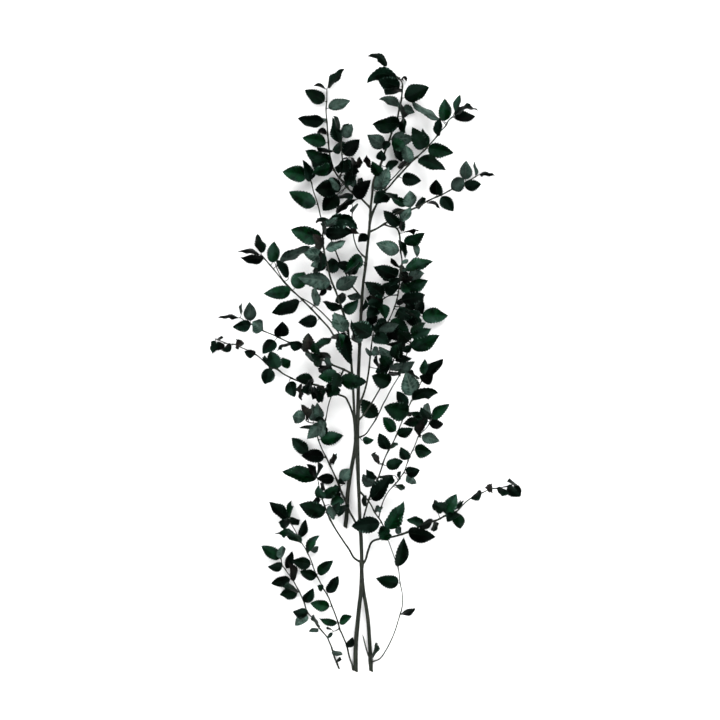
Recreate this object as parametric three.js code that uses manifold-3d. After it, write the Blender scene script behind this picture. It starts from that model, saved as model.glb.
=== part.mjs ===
// A loose spray of dried ruscus, laid flat: three leafy cut stems and two loose leafy twigs.
// Millimetres. +Y runs up the spray from the cut feet, +X to its right, +Z up from the table.
import * as THREE from "three";
import { mergeVertices } from "three/addons/utils/BufferGeometryUtils.js";
import Module from "manifold-3d";

const wasm = await Module();
wasm.setup();

// Driving dimensions
const BLADE_THICKNESS = 0.7;
const FULL_LEAF = 24;
const LEAF_ASPECT = 0.5;
const LEAF_WIDTH_SPARE = 1.03;
const READ_WIDTH_FACTOR = 1.12;
const SHALLOWEST_FORESHORTENING = 1.02;
const DEEPEST_FORESHORTENING = 1.3;
const STEEPEST_ROLL = 1.2;
const FOLD_ANGLE = 0.22;
const LEAST_ARCH = 0.04;
const MOST_ARCH = 0.12;
const PETIOLE_HALF_WIDTH = 0.4;
const PETIOLE_TOP = 0.2;
const PETIOLE_BOTTOM = -0.45;
const SHORTEST_PETIOLE = 2.2;
const STEM_SIDES = 6;
const STEM_STEP = 27;
const TWIG_SIDES = 4;
const TWIG_STEP = 19;
const TAPER_POWER = 1.2;
const THICKEST_TWIG_SHARE = 0.85;
const LOOSE_TWIG_RADIUS = 1.5;
const END_MARGIN = 0.06;
const TABLE_MARGIN = 4;
const TABLE_BLOCK = [900, 1200, 60];

// A leaf's choices: heights of its base over the wood, and what is added to its tilt
const BASE_LIFTS = [0.5, 2, -1];
const EXTRA_TILTS = [0, 0.15, 0.3];
const ROOM_WANTED = 5;
const ROOM_STEPS = 5;

// Where along a blade its rows of points lie, and how wide it is there as a share of its full width
const BLADE_ROWS = [[0.28, 0.98], [0.64, 0.78]];
const NARROW_BLADE_ROWS = [[0.45, 1]];
const NARROW_LEAF = 10.5;

// A leaf runs from (x, y) at the blade's base to (tipX, tipY) at its point, seen from above.
// The width is the one seen from above, and bow is how far its middle swings to the left.
const leaf = (faceUp) => (x, y, tipX, tipY, width, bow = 0) => ({ x, y, tipX, tipY, width, bow, faceUp });
const green = leaf(true);
const dark = leaf(true);
const brown = leaf(true);
const pale = leaf(false);

// Each route is a list of points chosen along the wood. A stem's points have a height of their own.
// A twig starts on the wood that bears it, ends at the height given, and rises between by its rise.
const highStem = {
  name: "high_stem",
  colour: 0x2f3f2b,
  radius: [2.3, 0.75],
  route: [
    [-21, 180, 2.4], [-18.8, 200, 5], [-18, 222, 7], [-14, 250, 8], [-9.5, 275, 8.5], [-7, 300, 9],
    [-5, 340, 10], [-4.4, 376, 11], [-3, 407, 12], [-2, 432, 13], [-0.6, 457, 13.5], [1.2, 482, 14],
    [4.4, 507, 14.5], [7, 532, 15], [9.4, 557, 16], [10.6, 579, 16.5], [12.5, 595, 17], [14.4, 614, 18],
    [19, 624, 18.5], [24, 636, 19], [29, 651, 19.5], [34, 664, 20], [37.5, 675, 20], [44, 691, 19],
    [46, 701, 18], [49, 714, 17], [50, 724, 16], [50, 736, 14], [45, 742.5, 13], [35, 747.5, 12],
    [30, 754, 11],
  ],
  leaves: [
    dark(30, 756, 5, 768, 8, -8), dark(45, 742, 6, 735.5, 14, -9), dark(48, 730, 20, 738, 16),
    pale(46, 739, 28, 747, 8), dark(48, 724, 27, 727, 8), brown(47, 741, 56, 739, 3, 4),
    green(53, 717, 84, 730, 18), pale(50, 702, 66, 699, 12), pale(46, 705, 20, 715, 10, -6),
    green(47, 685, 12.5, 683, 16), pale(31, 655, 6, 671, 15), pale(35, 664, 66, 667, 15),
    dark(51, 691, 51, 672, 4), dark(25, 636, 25, 651, 10), dark(29, 631, 46, 637.5, 9),
    brown(11, 629, 5.6, 645, 6), green(23, 620, 12, 637, 12), pale(19, 601, 26, 629, 15),
    dark(9, 547, -5, 536, 10), pale(-2, 466, -19, 469, 8), pale(-4, 408, -11, 422, 10),
    green(38, 664, 56, 650, 12), pale(24, 606, 33, 630, 12), green(-3, 512, -24, 499, 12),
  ],
  twigs: [
    {
      radius: [1.3, 0.6],
      end: 5,
      rise: 3,
      path: [
        [10, 579], [2.5, 587.5], [-5, 595], [-15, 601], [-21, 609], [-27.5, 616], [-32.5, 622.5],
        [-36, 629], [-39, 639], [-41, 651], [-42, 661], [-43, 674], [-44, 689], [-45, 701],
        [-44, 716], [-44, 728],
      ],
      leaves: [
        green(-43, 730, -22, 754, 9), dark(-46, 729, -62, 731, 4, -1.5), green(-47, 713, -72, 727.5, 14),
        pale(-42, 704, -14, 713.5, 12), green(-48, 687, -81, 691, 13), pale(-43, 687, -54, 693, 6),
        green(-45, 661, -75, 667, 14), dark(-42, 672, -57, 667, 6, -5), dark(-36, 650, -57, 654, 5),
        green(-41, 638, -71, 651, 13), dark(-37, 626, -64, 640, 19), green(-33, 603, -59, 602, 19),
        green(-31, 596, -49, 576, 17), dark(-29, 599, -40, 618, 13), pale(-28, 606, -42, 615, 9),
        dark(-9, 593, 11, 614, 15),
        green(-40, 630, -62, 624, 12),
      ],
      twigs: [
        {
          radius: [0.8, 0.55],
          end: 15,
          rise: 1,
          path: [[-27.5, 616], [-24, 630], [-25, 645], [-26, 660], [-25, 667]],
          leaves: [
            dark(-28, 661, -37, 693, 10), pale(-24, 667, -12, 684, 12), dark(-24, 645, -2, 665, 15),
            green(-37, 651, -21, 662, 10), dark(-23, 640, -28, 621, 8), dark(-18, 641, -10, 612, 13),
            brown(-8, 629, -3, 643, 8),
            green(-20, 636, -27, 622, 12), dark(-14, 622, -20, 606, 12),
          ],
        },
      ],
    },
    {
      radius: [1.0, 0.55],
      end: 14,
      rise: 0,
      path: [
        [0, 467], [-6, 474], [-12.5, 482], [-20, 497], [-28, 513], [-34, 528], [-40, 543], [-46, 556],
        [-51, 566], [-54, 579], [-57.5, 591], [-61, 601], [-64, 614], [-69, 624],
      ],
      leaves: [
        green(-29, 511, -46, 502, 15), pale(-27, 511, -14, 500, 9), brown(-51, 565, -58, 560, 3),
        green(-58, 584, -92, 600, 16), dark(-64, 611, -74, 640, 9), green(-68, 619, -100, 624, 17),
      ],
    },
    {
      radius: [0.8, 0.5],
      end: 18,
      rise: 0,
      path: [[6, 517.5], [0, 521], [-6, 529], [-10, 541], [-11.5, 556], [-12.5, 570], [-12, 583]],
      leaves: [green(-1, 519, -19, 501, 14), pale(-12, 572, -6, 585, 5)],
    },
    {
      radius: [1.2, 0.6],
      end: 16,
      rise: 5,
      path: [
        [11, 561], [14, 574], [20, 587.5], [26, 597.5], [34, 606], [42.5, 616], [51, 625], [60, 635],
        [70, 644], [77.5, 651], [85, 659], [92.5, 667.5], [99, 676], [105, 682.5], [107.5, 688],
        [114, 694],
      ],
      leaves: [
        dark(31, 597, 14, 585, 15), dark(50, 616.5, 74, 613, 14), green(71, 641, 105, 626, 14),
        green(80, 654, 115, 648, 15), dark(93, 668, 98, 691, 9), pale(97, 690.5, 62, 712, 8.5),
        green(103, 688, 103, 716, 13.5), green(116, 700, 123, 721, 7), dark(114, 691, 142, 693, 12),
        dark(115, 693, 145, 700, 6, 6), green(77, 651, 62.5, 680, 15), pale(58, 634, 54, 657, 12),
      ],
    },
    {
      radius: [0.8, 0.6],
      end: 22,
      rise: 3,
      path: [[12.5, 570], [18, 584], [24, 594], [32.5, 610], [42, 620], [50, 629], [60, 638], [70, 645]],
      leaves: [],
    },
    {
      radius: [1.1, 0.55],
      end: 6,
      rise: 3,
      path: [
        [10, 549], [17.5, 553], [24, 557], [29, 560], [34, 564], [41, 571], [51, 576], [60, 577],
        [70, 581], [81, 587.5], [92.5, 593], [99, 595.6], [109, 601], [119, 606], [129, 611],
        [137.5, 616], [146, 621],
      ],
      leaves: [
        green(57, 583, 36, 593, 9), pale(61, 578, 59, 601, 14), dark(67, 583, 80, 592, 9),
        pale(50, 562, 61, 580, 10), dark(50, 578, 37, 573, 8), dark(93, 594, 92, 615, 14),
        dark(99, 594, 114, 575, 13), dark(82, 585, 97, 578, 4, 4), pale(110, 601, 128, 615, 15),
        dark(128, 607, 149, 609, 12), pale(129, 615, 130, 639, 13), pale(141, 620, 139, 638, 3),
        dark(147, 621.5, 167, 619.5, 2, 2.5),
      ],
      twigs: [
        {
          radius: [0.9, 0.55],
          end: 12,
          rise: 5,
          path: [
            [29, 558], [35, 556], [42.5, 554.5], [46, 549], [47.5, 539], [48, 526], [50, 511],
            [47.5, 495], [45, 472], [41, 457], [35, 442], [30, 432],
          ],
          leaves: [
            green(46, 557, 26.5, 576, 12), brown(54, 549, 71, 551, 3, 2), dark(48, 541, 56, 516.5, 7),
            green(54, 534, 78.5, 548, 13), pale(66, 535, 68, 517, 7), pale(48, 525, 17, 535, 15),
            dark(45, 505, 36, 517, 5), green(54, 504, 89, 512.5, 13), pale(58, 492, 78, 498, 13),
            dark(41, 495, 14, 506, 15), brown(50, 488, 64, 493, 9), green(52, 478, 82.5, 489, 13),
            dark(50, 464, 79, 471, 14), dark(44, 475, 25, 484, 15), dark(34, 438, 13, 425, 14),
            dark(38, 426, 18, 410, 14), pale(34, 432, 47, 428, 11), dark(44, 452, 62, 440, 13),
            dark(46, 502, 26, 489, 12), green(36, 440, 60, 420, 16), dark(33, 431.5, 52, 412, 15),
          ],
          twigs: [
            {
              radius: [0.75, 0.55],
              end: 14,
              rise: 1,
              path: [[45, 472], [36, 470], [27, 466], [20, 455]],
              leaves: [
                dark(27, 469, 3, 487, 15), green(24, 462, 29, 440, 12), dark(20, 455, 6, 443, 13),
                dark(27, 467, 6, 460, 13), dark(24, 460, 8, 451, 13),
              ],
            },
            {
              radius: [0.75, 0.55],
              end: 12,
              rise: 1,
              path: [[41, 457], [52, 455], [62, 450], [73, 445]],
              leaves: [
                green(75, 444, 108, 445, 16), dark(70, 446, 70, 431, 6), dark(74, 446, 79, 461, 7),
                dark(52, 456, 71, 465, 13), dark(56, 452, 71, 440, 10),
              ],
            },
          ],
        },
      ],
    },
  ],
};

const middleStem = {
  name: "middle_stem",
  colour: 0x33452f,
  radius: [2.2, 0.75],
  route: [
    [11.4, 0, 2.3], [10.5, 20, 3.4], [9.4, 39, 4.8], [7.5, 64, 6.6], [5, 82, 8], [2, 99, 9.6],
    [0, 120, 12.2], [-1, 150, 16], [-2, 176, 19], [-3.5, 210, 23], [-5, 239, 27], [-6.5, 270, 31],
    [-8, 289, 34], [-9.5, 320, 38], [-11, 351, 41], [-12.5, 374, 43], [-13.8, 391, 44],
    [-15.6, 410, 45], [-18.8, 432.5, 46], [-25, 452.5, 47], [-32.5, 474, 47], [-39, 490, 47],
    [-42.5, 504, 46], [-47.5, 526, 45], [-49, 545, 44], [-46, 557, 43], [-40, 565, 42], [-33, 571, 41],
  ],
  leaves: [
    green(13, 16, 17, 37.5, 6), dark(-26, 423, -13.5, 384, 15), dark(-27, 453, -50, 461, 8),
    dark(-26, 457, -25, 474, 11), green(-22, 447, -4, 464, 12), pale(-22, 424, -35, 449, 17),
    pale(-32, 477, -5, 493.5, 15), pale(-38, 486, -80, 492, 17), green(-51, 540, -89, 552, 18),
    pale(-47, 518, -73, 522, 14), brown(-50, 530, -61, 546, 12), dark(-33, 571, -3, 590, 7, 6),
    dark(-44, 557, -5, 552, 15, 10), dark(-47, 548, -15, 547, 14), pale(-45, 553, -30, 566, 9),
    dark(-49, 545, -46, 562, 6), pale(-46, 527, -20, 538, 10),
    green(-16, 400, -30, 422, 12),
  ],
  twigs: [
    {
      radius: [0.9, 0.7],
      end: 5,
      rise: 0,
      path: [[10.8, 12], [6, 26], [1, 45]],
      leaves: [],
    },
    {
      radius: [0.75, 0.5],
      end: 13,
      rise: 0,
      path: [
        [12, 13], [17.5, 13.5], [22.5, 16], [29, 25], [35, 36], [41, 50], [45.6, 65], [49.4, 77.5],
        [50.6, 86], [50, 99], [47.5, 111], [45.6, 127.5], [41, 141], [35.6, 156], [32.5, 165],
      ],
      leaves: [dark(50, 71, 67, 80, 7), green(46, 110, 16.5, 116, 14), green(47, 130, 54, 168, 13)],
    },
    {
      radius: [1.2, 0.6],
      end: 10,
      rise: -9,
      path: [
        [-2.5, 176], [-10, 190], [-16, 201], [-21, 214], [-26, 225], [-30, 236], [-36, 249],
        [-44, 266], [-51, 280], [-55, 291], [-57.5, 301],
      ],
      leaves: [
        pale(-28, 239, -15, 254, 12), dark(-33, 241, -57, 241, 11), brown(-39, 258, -35, 273, 6),
        dark(-47, 268, -76, 269, 14), green(-53, 290, -23, 295, 14),
        green(-24, 218, -40, 208, 12),
      ],
      twigs: [
        {
          radius: [0.65, 0.5],
          end: 8,
          rise: -1,
          path: [[-46, 268], [-58, 269], [-67, 272.5]],
          leaves: [dark(-68, 273, -89, 292, 13)],
        },
      ],
    },
    {
      radius: [0.8, 0.5],
      end: 42,
      rise: 0,
      path: [
        [-8, 291], [4, 296.5], [11, 306], [17.5, 316], [22.5, 326], [26, 334], [30, 341], [34, 349],
        [39, 358], [45, 367.5], [49, 375], [52.5, 382.5], [55, 395], [59, 405], [61, 414],
      ],
      leaves: [
        green(1, 289, 15, 290, 8), green(17, 316, -1, 341, 16), green(62, 404, 97, 420.5, 16),
        pale(45, 374, 66, 387.5, 11), green(61, 418, 87, 428.5, 11),
        green(59, 412, 44, 426, 14),
      ],
    },
    {
      radius: [1.2, 0.5],
      end: 4,
      rise: 5,
      path: [
        [-9, 311], [-12.5, 325], [-17.5, 337.5], [-21, 343], [-27.5, 345.6], [-40, 350], [-55, 357.5],
        [-77.5, 362.5], [-92.5, 369], [-101, 374], [-105, 377.5], [-115, 381], [-120, 385],
        [-126, 391], [-132.5, 396], [-145, 402.5], [-151, 405], [-159, 409], [-167.5, 409.4],
        [-175, 412.5], [-184, 416],
      ],
      leaves: [
        green(-61, 364, -83, 367, 12), brown(-76, 361, -76, 339, 6), dark(-68, 360, -69, 345, 9),
        dark(-63, 358, -62, 340, 7), dark(-91, 362, -84, 343, 13), brown(-57, 360, -49, 351, 9),
        dark(-57, 354, -54, 336, 9), green(-101, 383, -89, 388, 12), green(-104, 378, -114, 401, 15),
        dark(-110, 383, -125, 393, 8), dark(-115, 379, -121, 359, 14), dark(-132, 395, -147, 400, 9),
        brown(-159, 408.5, -147.5, 412, 10), dark(-161, 408, -176, 402, 8),
        dark(-172, 409, -185, 401, 9), dark(-184, 415, -188, 397, 7), dark(-184, 416, -173, 417.5, 4),
      ],
    },
    {
      radius: [1.2, 0.5],
      end: 18,
      rise: 3,
      path: [
        [-12.5, 372.5], [-17.5, 375], [-26, 379], [-35, 382.5], [-44, 387.5], [-52.5, 391], [-61, 396],
        [-71, 401], [-82.5, 409], [-90, 411], [-100, 415.6], [-109, 420], [-119, 424], [-127.5, 427.5],
        [-137.5, 434], [-145, 437.5], [-152.5, 442.5],
      ],
      leaves: [
        dark(-153, 443.5, -181, 442.5, 2, -3.5), pale(-151, 446, -150, 461, 2),
        pale(-139, 438, -140, 462.5, 13), dark(-137, 433, -162, 430, 12), pale(-122, 425, -137, 437, 15),
        dark(-101, 417.5, -99, 437.5, 15), dark(-89, 408, -106, 400, 4, -4), dark(-73, 405, -90, 413, 11),
        brown(-67, 401, -66, 423, 14), green(-57, 397, -60, 412, 9), green(-60, 402, -37, 418, 9),
        green(-60, 394, -52, 381, 11), dark(-54, 399, -40, 391, 9), pale(-50, 388, -38, 381, 8),
        dark(-109, 413.5, -124, 397, 13),
      ],
      twigs: [
        {
          radius: [0.8, 0.5],
          end: 24,
          rise: 2,
          path: [
            [-22, 377], [-28, 366], [-31, 358], [-35, 350], [-38, 345], [-42, 333], [-45, 317],
            [-48, 305], [-50, 297],
          ],
          leaves: [
            green(-31, 371, -55, 368, 14), green(-31, 359, -43, 343, 15), green(-29, 373, -37, 350, 11),
            green(-28, 364, 6, 362, 16), pale(-47, 316, -70, 292, 13), pale(-45, 314, -52, 293, 10),
            dark(-46, 309, -44, 296, 5), dark(-51, 304, -79, 305, 5), pale(-52, 316, -56, 337, 10),
          ],
          twigs: [
            {
              radius: [0.6, 0.5],
              end: 22,
              rise: 0,
              path: [[-46, 312], [-56, 311], [-64, 311], [-70, 313.5]],
              leaves: [
                pale(-71, 316, -87, 320, 15), brown(-67, 316, -76, 334, 8), pale(-60, 313, -62, 335, 10),
              ],
            },
          ],
        },
      ],
    },
    {
      radius: [1.2, 0.6],
      end: 20,
      rise: 4,
      path: [
        [-15, 389], [-22.5, 404], [-30, 414], [-36, 421], [-41, 429], [-51, 440], [-62.5, 452.5],
        [-71, 461], [-77.5, 467.5], [-86, 475], [-94, 482.5], [-101, 491], [-109, 501],
        [-117.5, 511], [-126, 521],
      ],
      leaves: [
        dark(-127, 520, -156, 523, 5, -5), dark(-122, 514.5, -153, 516, 10),
        green(-126, 523, -131, 547, 10), green(-112, 511, -109.5, 537.5, 13),
        pale(-101, 511, -64, 531, 10), dark(-92, 493, -107, 515, 10), green(-88, 475, -123, 471, 14),
        green(-78, 462, -113, 448, 14), dark(-56, 439, -80, 436, 13), pale(-60, 458, -58, 480, 10),
        green(-84, 479, -72, 500, 16),
      ],
      twigs: [
        {
          radius: [0.8, 0.7],
          end: 36,
          rise: 1,
          path: [
            [-22.5, 404], [-27.5, 420], [-35, 432.5], [-42.5, 441], [-52.5, 451], [-62.5, 459], [-76, 467],
          ],
          leaves: [],
        },
        {
          radius: [0.8, 0.6],
          end: 22,
          rise: 1,
          path: [[-86, 475], [-90, 480], [-99, 490], [-105, 501], [-109, 511]],
          leaves: [],
        },
      ],
    },
  ],
};

const lowStem = {
  name: "low_stem",
  colour: 0x3a4a35,
  radius: [2.6, 0.75],
  route: [
    [-8, 0, 2.7], [-8, 20, 4.6], [-7.5, 38, 6.8], [-5.5, 61, 9], [-3.5, 82, 11.5], [-1.5, 100, 13.6],
    [-0.6, 136, 18.9], [-1.2, 164, 25], [-3, 195, 33], [-4, 226, 40], [-4.4, 257, 47], [-5, 289, 53],
    [-4.4, 314, 58], [-2.5, 336, 61], [1.2, 345, 63], [5, 357.5, 65], [8, 374, 67], [10, 392.5, 68],
    [12, 410, 69], [14, 422.5, 69],
  ],
  leaves: [
    dark(12, 419, -14, 435, 18), pale(10, 392, 5, 405, 5), dark(14, 422, 34, 410, 14),
    dark(15, 424, 38, 435, 14), pale(22, 424, 46, 434, 10),
  ],
  twigs: [
    {
      radius: [1.2, 0.6],
      end: 37,
      rise: 2,
      path: [
        [-3, 136], [-10, 142.5], [-16, 153], [-21, 160], [-26, 167.5], [-32.5, 177.5], [-39, 189],
        [-44, 200], [-47.5, 210], [-51, 220], [-55, 239],
      ],
      leaves: [
        green(-46, 199, -79, 209, 17), green(-51, 214, -57, 232, 10), green(-49, 217, -29, 232, 11),
        pale(-40, 208, -35, 190, 8), dark(-38, 192, -27, 212, 9), green(-57, 243, -100, 250.5, 16),
        dark(-57, 246, -69, 260, 8), dark(-56, 244, -54, 262, 5),
      ],
    },
    {
      radius: [1.3, 0.5],
      end: 4,
      rise: 4,
      path: [
        [-0.6, 134], [4, 139], [7.5, 151], [12.5, 162.5], [22.5, 166], [30, 167], [47.5, 171],
        [64, 177.5], [77.5, 184], [85, 187], [94, 189.5], [104, 195], [119, 201], [126, 208.5],
        [135, 216], [145, 221], [152.5, 224.5], [160, 228], [167.5, 229], [179, 231], [190, 234.5],
      ],
      leaves: [
        pale(50, 174, 43, 181, 8), green(79, 185, 55.5, 191, 10), dark(56, 173, 92, 168, 16),
        dark(93, 189, 89, 175, 5), green(103, 196, 117, 223, 14), green(104, 203, 89, 210, 13),
        dark(110, 205, 128, 213, 6), green(119, 198, 123, 178, 13), dark(118, 199, 106, 187.5, 11),
        dark(152, 222.5, 136, 215, 9), brown(165, 228, 152.5, 230, 9), green(167, 228, 184, 222, 8),
        dark(180, 231, 197, 218, 10), dark(190, 233, 199, 219, 8), dark(192, 235, 181, 238, 5),
      ],
    },
    {
      radius: [0.9, 0.6],
      end: 36,
      rise: 0,
      path: [[-4, 226], [6, 216], [11, 209], [16, 199], [22.5, 190], [27.5, 181], [34, 172.5]],
      leaves: [
        green(33, 178, 53, 213.5, 16), green(33, 177, 25, 164, 15), pale(17, 201, 23, 206, 8),
        dark(1, 222, 7, 208, 6), dark(22, 186, -13, 182, 17),
      ],
      twigs: [
        {
          radius: [0.9, 0.5],
          end: 52,
          rise: 2,
          path: [
            [20, 192], [24, 206], [27.5, 216], [32.5, 225], [39, 232.5], [45, 239], [49, 245],
            [52.5, 250], [55, 257.5], [57.5, 264], [61, 273], [64, 279], [67.5, 287.5], [71, 296],
            [79, 303.5], [83, 309], [85, 315],
          ],
          leaves: [
            dark(45, 240, 48, 251, 5), green(43, 234, 52, 229, 5), dark(55, 249, 72, 252.5, 12),
            pale(56, 247, 68, 235, 10), dark(56, 264, 47, 281, 11), green(65, 277, 87, 274.5, 14),
            pale(74, 295, 97, 288, 12), dark(84, 309, 102, 310, 11), brown(70, 292, 78, 318, 8),
            green(87, 317, 109, 335, 11), pale(85, 315, 83, 336, 9), dark(84, 315, 73, 331, 10),
            green(82, 316, 51, 310, 13),
          ],
        },
      ],
    },
    {
      radius: [1.0, 0.5],
      end: 66,
      rise: 2,
      path: [
        [-2.5, 179], [2.5, 195], [6, 207.5], [11, 222.5], [16, 234], [20, 242.5], [24, 254],
        [27.5, 265], [32.5, 276], [39, 287.5], [44, 299], [47.5, 307.5], [51, 316], [59, 333.5],
        [62.5, 341], [67.5, 350], [72.5, 360], [76, 370],
      ],
      leaves: [
        pale(14, 231, 1, 247, 12), dark(12, 216, 36, 244, 16), dark(16, 241, 5, 253.5, 8),
        dark(19, 261, 11, 273, 4), dark(31, 277, 20, 298, 12), green(30, 258, 51, 263, 12),
        green(33, 278, 43, 287, 6), green(43, 295, 64, 304, 11), green(42, 301, 26, 318, 12),
        green(58, 324, 27, 331, 20), dark(56, 332, 42, 350, 11), green(63, 338, 95, 347, 13, 6),
        pale(63, 344, 53, 375, 19), dark(74, 361, 89, 371, 13), green(77, 371, 78, 391, 8),
        dark(79, 369, 101, 391, 12),
      ],
    },
    {
      radius: [1.0, 0.6],
      end: 70,
      rise: 1,
      path: [
        [-4, 315], [1, 320], [6, 327], [12, 336], [19, 348], [25, 358], [31, 368], [36, 380], [40, 392],
      ],
      leaves: [
        green(35, 361, 12, 370, 17), green(40, 389, 50, 411, 14), pale(37, 390, 20, 406, 11),
        green(37, 380, 24, 396, 12), pale(38, 376, 50, 386, 9),
        dark(37, 384, 16, 374, 12),
      ],
    },
  ],
};

const innerLeftTwig = {
  name: "inner_left_twig",
  colour: 0x3c5240,
  radius: [0.95, 0.5],
  route: [
    [-11.5, 1, 1.8], [-12.3, 8, 2.4], [-14.5, 14, 3.2], [-16.5, 21, 4.6], [-18, 28, 6], [-20, 35, 7.5],
    [-23, 42, 9], [-25.5, 48, 10], [-28, 53, 11], [-29.5, 60, 11.5], [-33, 70, 12], [-36, 78, 12.5],
    [-38.5, 84, 12.5], [-41, 91, 12.5], [-44, 97, 12.5], [-48, 103, 12.5], [-51, 109, 12.5],
    [-54.5, 116, 12.5], [-57, 121, 12.5], [-60, 128, 12.5], [-62, 134, 12.5], [-64.5, 141, 12.5],
    [-68, 148, 12.5], [-71, 154, 12.5], [-75, 160, 12.5], [-79, 167, 12], [-83, 175, 11.5],
    [-87, 182, 11], [-91, 189, 10], [-94, 195, 10],
  ],
  leaves: [
    green(-18, 28, -11, 43, 8), green(-30, 59, -54, 66.3, 8), green(-29, 61, -12.5, 70, 9),
    green(-41, 81, -65, 86, 12), dark(-43, 97, -29, 120, 11), green(-47, 102, -56, 108, 7),
    green(-56, 117, -78, 125, 11), green(-55, 122, -35.5, 139, 11), green(-63, 133, -88, 138, 13),
    green(-67, 148, -52, 170, 9, 5), dark(-76, 166, -69, 190, 9), green(-76, 160, -110, 171, 10, -8),
    dark(-91, 189, -116.5, 212.5, 12), dark(-88, 185, -104, 187, 12), green(-90, 193, -89, 214, 8),
    dark(-88, 193, -79, 183, 9),
  ],
  twigs: [
    {
      radius: [0.55, 0.5],
      end: 15,
      rise: 0,
      path: [[-28, 53], [-32, 51.5], [-36, 50.5]],
      leaves: [dark(-36, 51, -44, 57, 3), pale(-36, 50, -44, 41.3, 4)],
    },
  ],
};

const outerLeftTwig = {
  name: "outer_left_twig",
  colour: 0x43503d,
  radius: [0.95, 0.5],
  route: [
    [-28.5, 3, 1], [-30.5, 8, 1.8], [-33, 14, 2.8], [-36, 22, 4], [-38, 30, 5.2], [-41, 37, 6],
    [-43, 42, 6.8], [-47, 47, 7.2], [-50, 50.5, 7.2], [-53, 54, 7], [-56.5, 58, 6.6], [-60, 64, 6.2],
    [-64, 69, 5.8], [-67, 72, 5.5], [-70, 78, 5], [-72, 85, 5], [-75, 92, 5], [-78.5, 100, 5],
    [-82, 106, 5], [-88, 117, 5], [-93, 123, 5], [-97, 129, 5], [-100, 133, 5], [-101, 140, 5],
    [-103, 144, 5],
  ],
  leaves: [
    green(-31, 10, -27.5, 18.5, 5), pale(-38, 27, -25, 20.5, 6), pale(-54, 53, -67, 50, 5),
    dark(-54, 56, -60.5, 72, 5), dark(-68, 72, -87, 75, 11), pale(-69, 71, -84, 57, 11),
    dark(-71, 85, -60, 104, 11), green(-79, 100, -103.5, 95.5, 13), green(-80, 102, -98.5, 106, 8),
    green(-90, 115, -114, 110, 11), brown(-84, 111, -92, 139, 8), dark(-99, 130.5, -118.5, 131, 10),
    green(-102, 140, -126.5, 157, 12), pale(-100, 140, -98.5, 158, 9), dark(-94, 128, -86, 150, 9),
  ],
};

const bunch = [highStem, middleStem, lowStem, innerLeftTwig, outerLeftTwig];

// A repeatable draw between 0 and 1 for a leaf's number and a choice
function draw(number, choice) {
  const wave = Math.sin(number * 12.9898 + choice * 78.233) * 43758.5453;
  return wave - Math.floor(wave);
}

// Heights that would sink towards the table level out just above it
function restAboveTable(height) {
  return height > TABLE_MARGIN ? height : TABLE_MARGIN * Math.exp((height - TABLE_MARGIN) / TABLE_MARGIN);
}

// Wood is laid along a smooth curve through its points, in straight pieces of about one step
function layWood(points, radius, step) {
  const curve = new THREE.CatmullRomCurve3(points, false, "centripetal");
  const steps = Math.max(2, Math.round(curve.getLength() / step));
  return { centres: curve.getSpacedPoints(steps), frames: curve.computeFrenetFrames(steps), radius, steps };
}

function radiusAt(wood, share) {
  return THREE.MathUtils.lerp(wood.radius[0], wood.radius[1], share ** TAPER_POWER);
}

// The place on the wood's centre line nearest to a point seen from above, a little inside its end,
// and its share of the way
function nearestPlace(wood, x, y) {
  let best = { distance: Infinity };
  for (let i = 0; i < wood.steps; i += 1) {
    const from = wood.centres[i];
    const step = wood.centres[i + 1].clone().sub(from);
    const across = step.x * step.x + step.y * step.y;
    const end = i === wood.steps - 1 ? 1 - END_MARGIN : 1;
    const share = THREE.MathUtils.clamp(((x - from.x) * step.x + (y - from.y) * step.y) / across, 0, end);
    const place = from.clone().addScaledVector(step, share);
    const distance = Math.hypot(place.x - x, place.y - y);
    if (distance < best.distance) {
      best = { place, distance, share: (i + share) / wood.steps };
    }
  }
  return best;
}

// A twig's wood, which starts in the middle of its bearer's and is thinner than it there
function growTwig(twig, bearer) {
  const start = nearestPlace(bearer, twig.path[0][0], twig.path[0][1]);
  const flat = twig.path.map(([x, y]) => new THREE.Vector2(x, y));
  flat[0].set(start.place.x, start.place.y);
  const lengths = [0];
  for (let i = 1; i < flat.length; i += 1) {
    lengths.push(lengths[i - 1] + flat[i].distanceTo(flat[i - 1]));
  }
  const points = flat.map((point, i) => {
    const share = lengths[i] / lengths[flat.length - 1];
    const height = THREE.MathUtils.lerp(start.place.z, twig.end, share) + twig.rise * 4 * share * (1 - share);
    return new THREE.Vector3(point.x, point.y, height);
  });
  const thickest = THICKEST_TWIG_SHARE * radiusAt(bearer, start.share);
  const radius = [Math.min(twig.radius[0], thickest), Math.min(twig.radius[1], thickest)];
  return layWood(points, radius, TWIG_STEP);
}

function toSolid(geometry) {
  return new wasm.Manifold(new wasm.Mesh({
    numProp: 3,
    vertProperties: new Float32Array(geometry.attributes.position.array),
    triVerts: new Uint32Array(geometry.index.array),
  }));
}

// Round wood: a cylinder bent along its centre line and tapered towards its end
function woodGeometry(wood, sides) {
  const geometry = new THREE.CylinderGeometry(1, 1, 1, sides, wood.steps);
  geometry.deleteAttribute("normal");
  geometry.deleteAttribute("uv");
  const merged = mergeVertices(geometry, 1e-5);
  const points = merged.attributes.position;
  for (let i = 0; i < points.count; i += 1) {
    const share = points.getY(i) + 0.5;
    const ring = Math.round(share * wood.steps);
    const thickness = radiusAt(wood, share);
    const place = wood.centres[ring].clone();
    place.addScaledVector(wood.frames.normals[ring], points.getZ(i) * thickness);
    place.addScaledVector(wood.frames.binormals[ring], points.getX(i) * thickness);
    points.setXYZ(i, place.x, place.y, place.z);
  }
  return merged;
}

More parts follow.
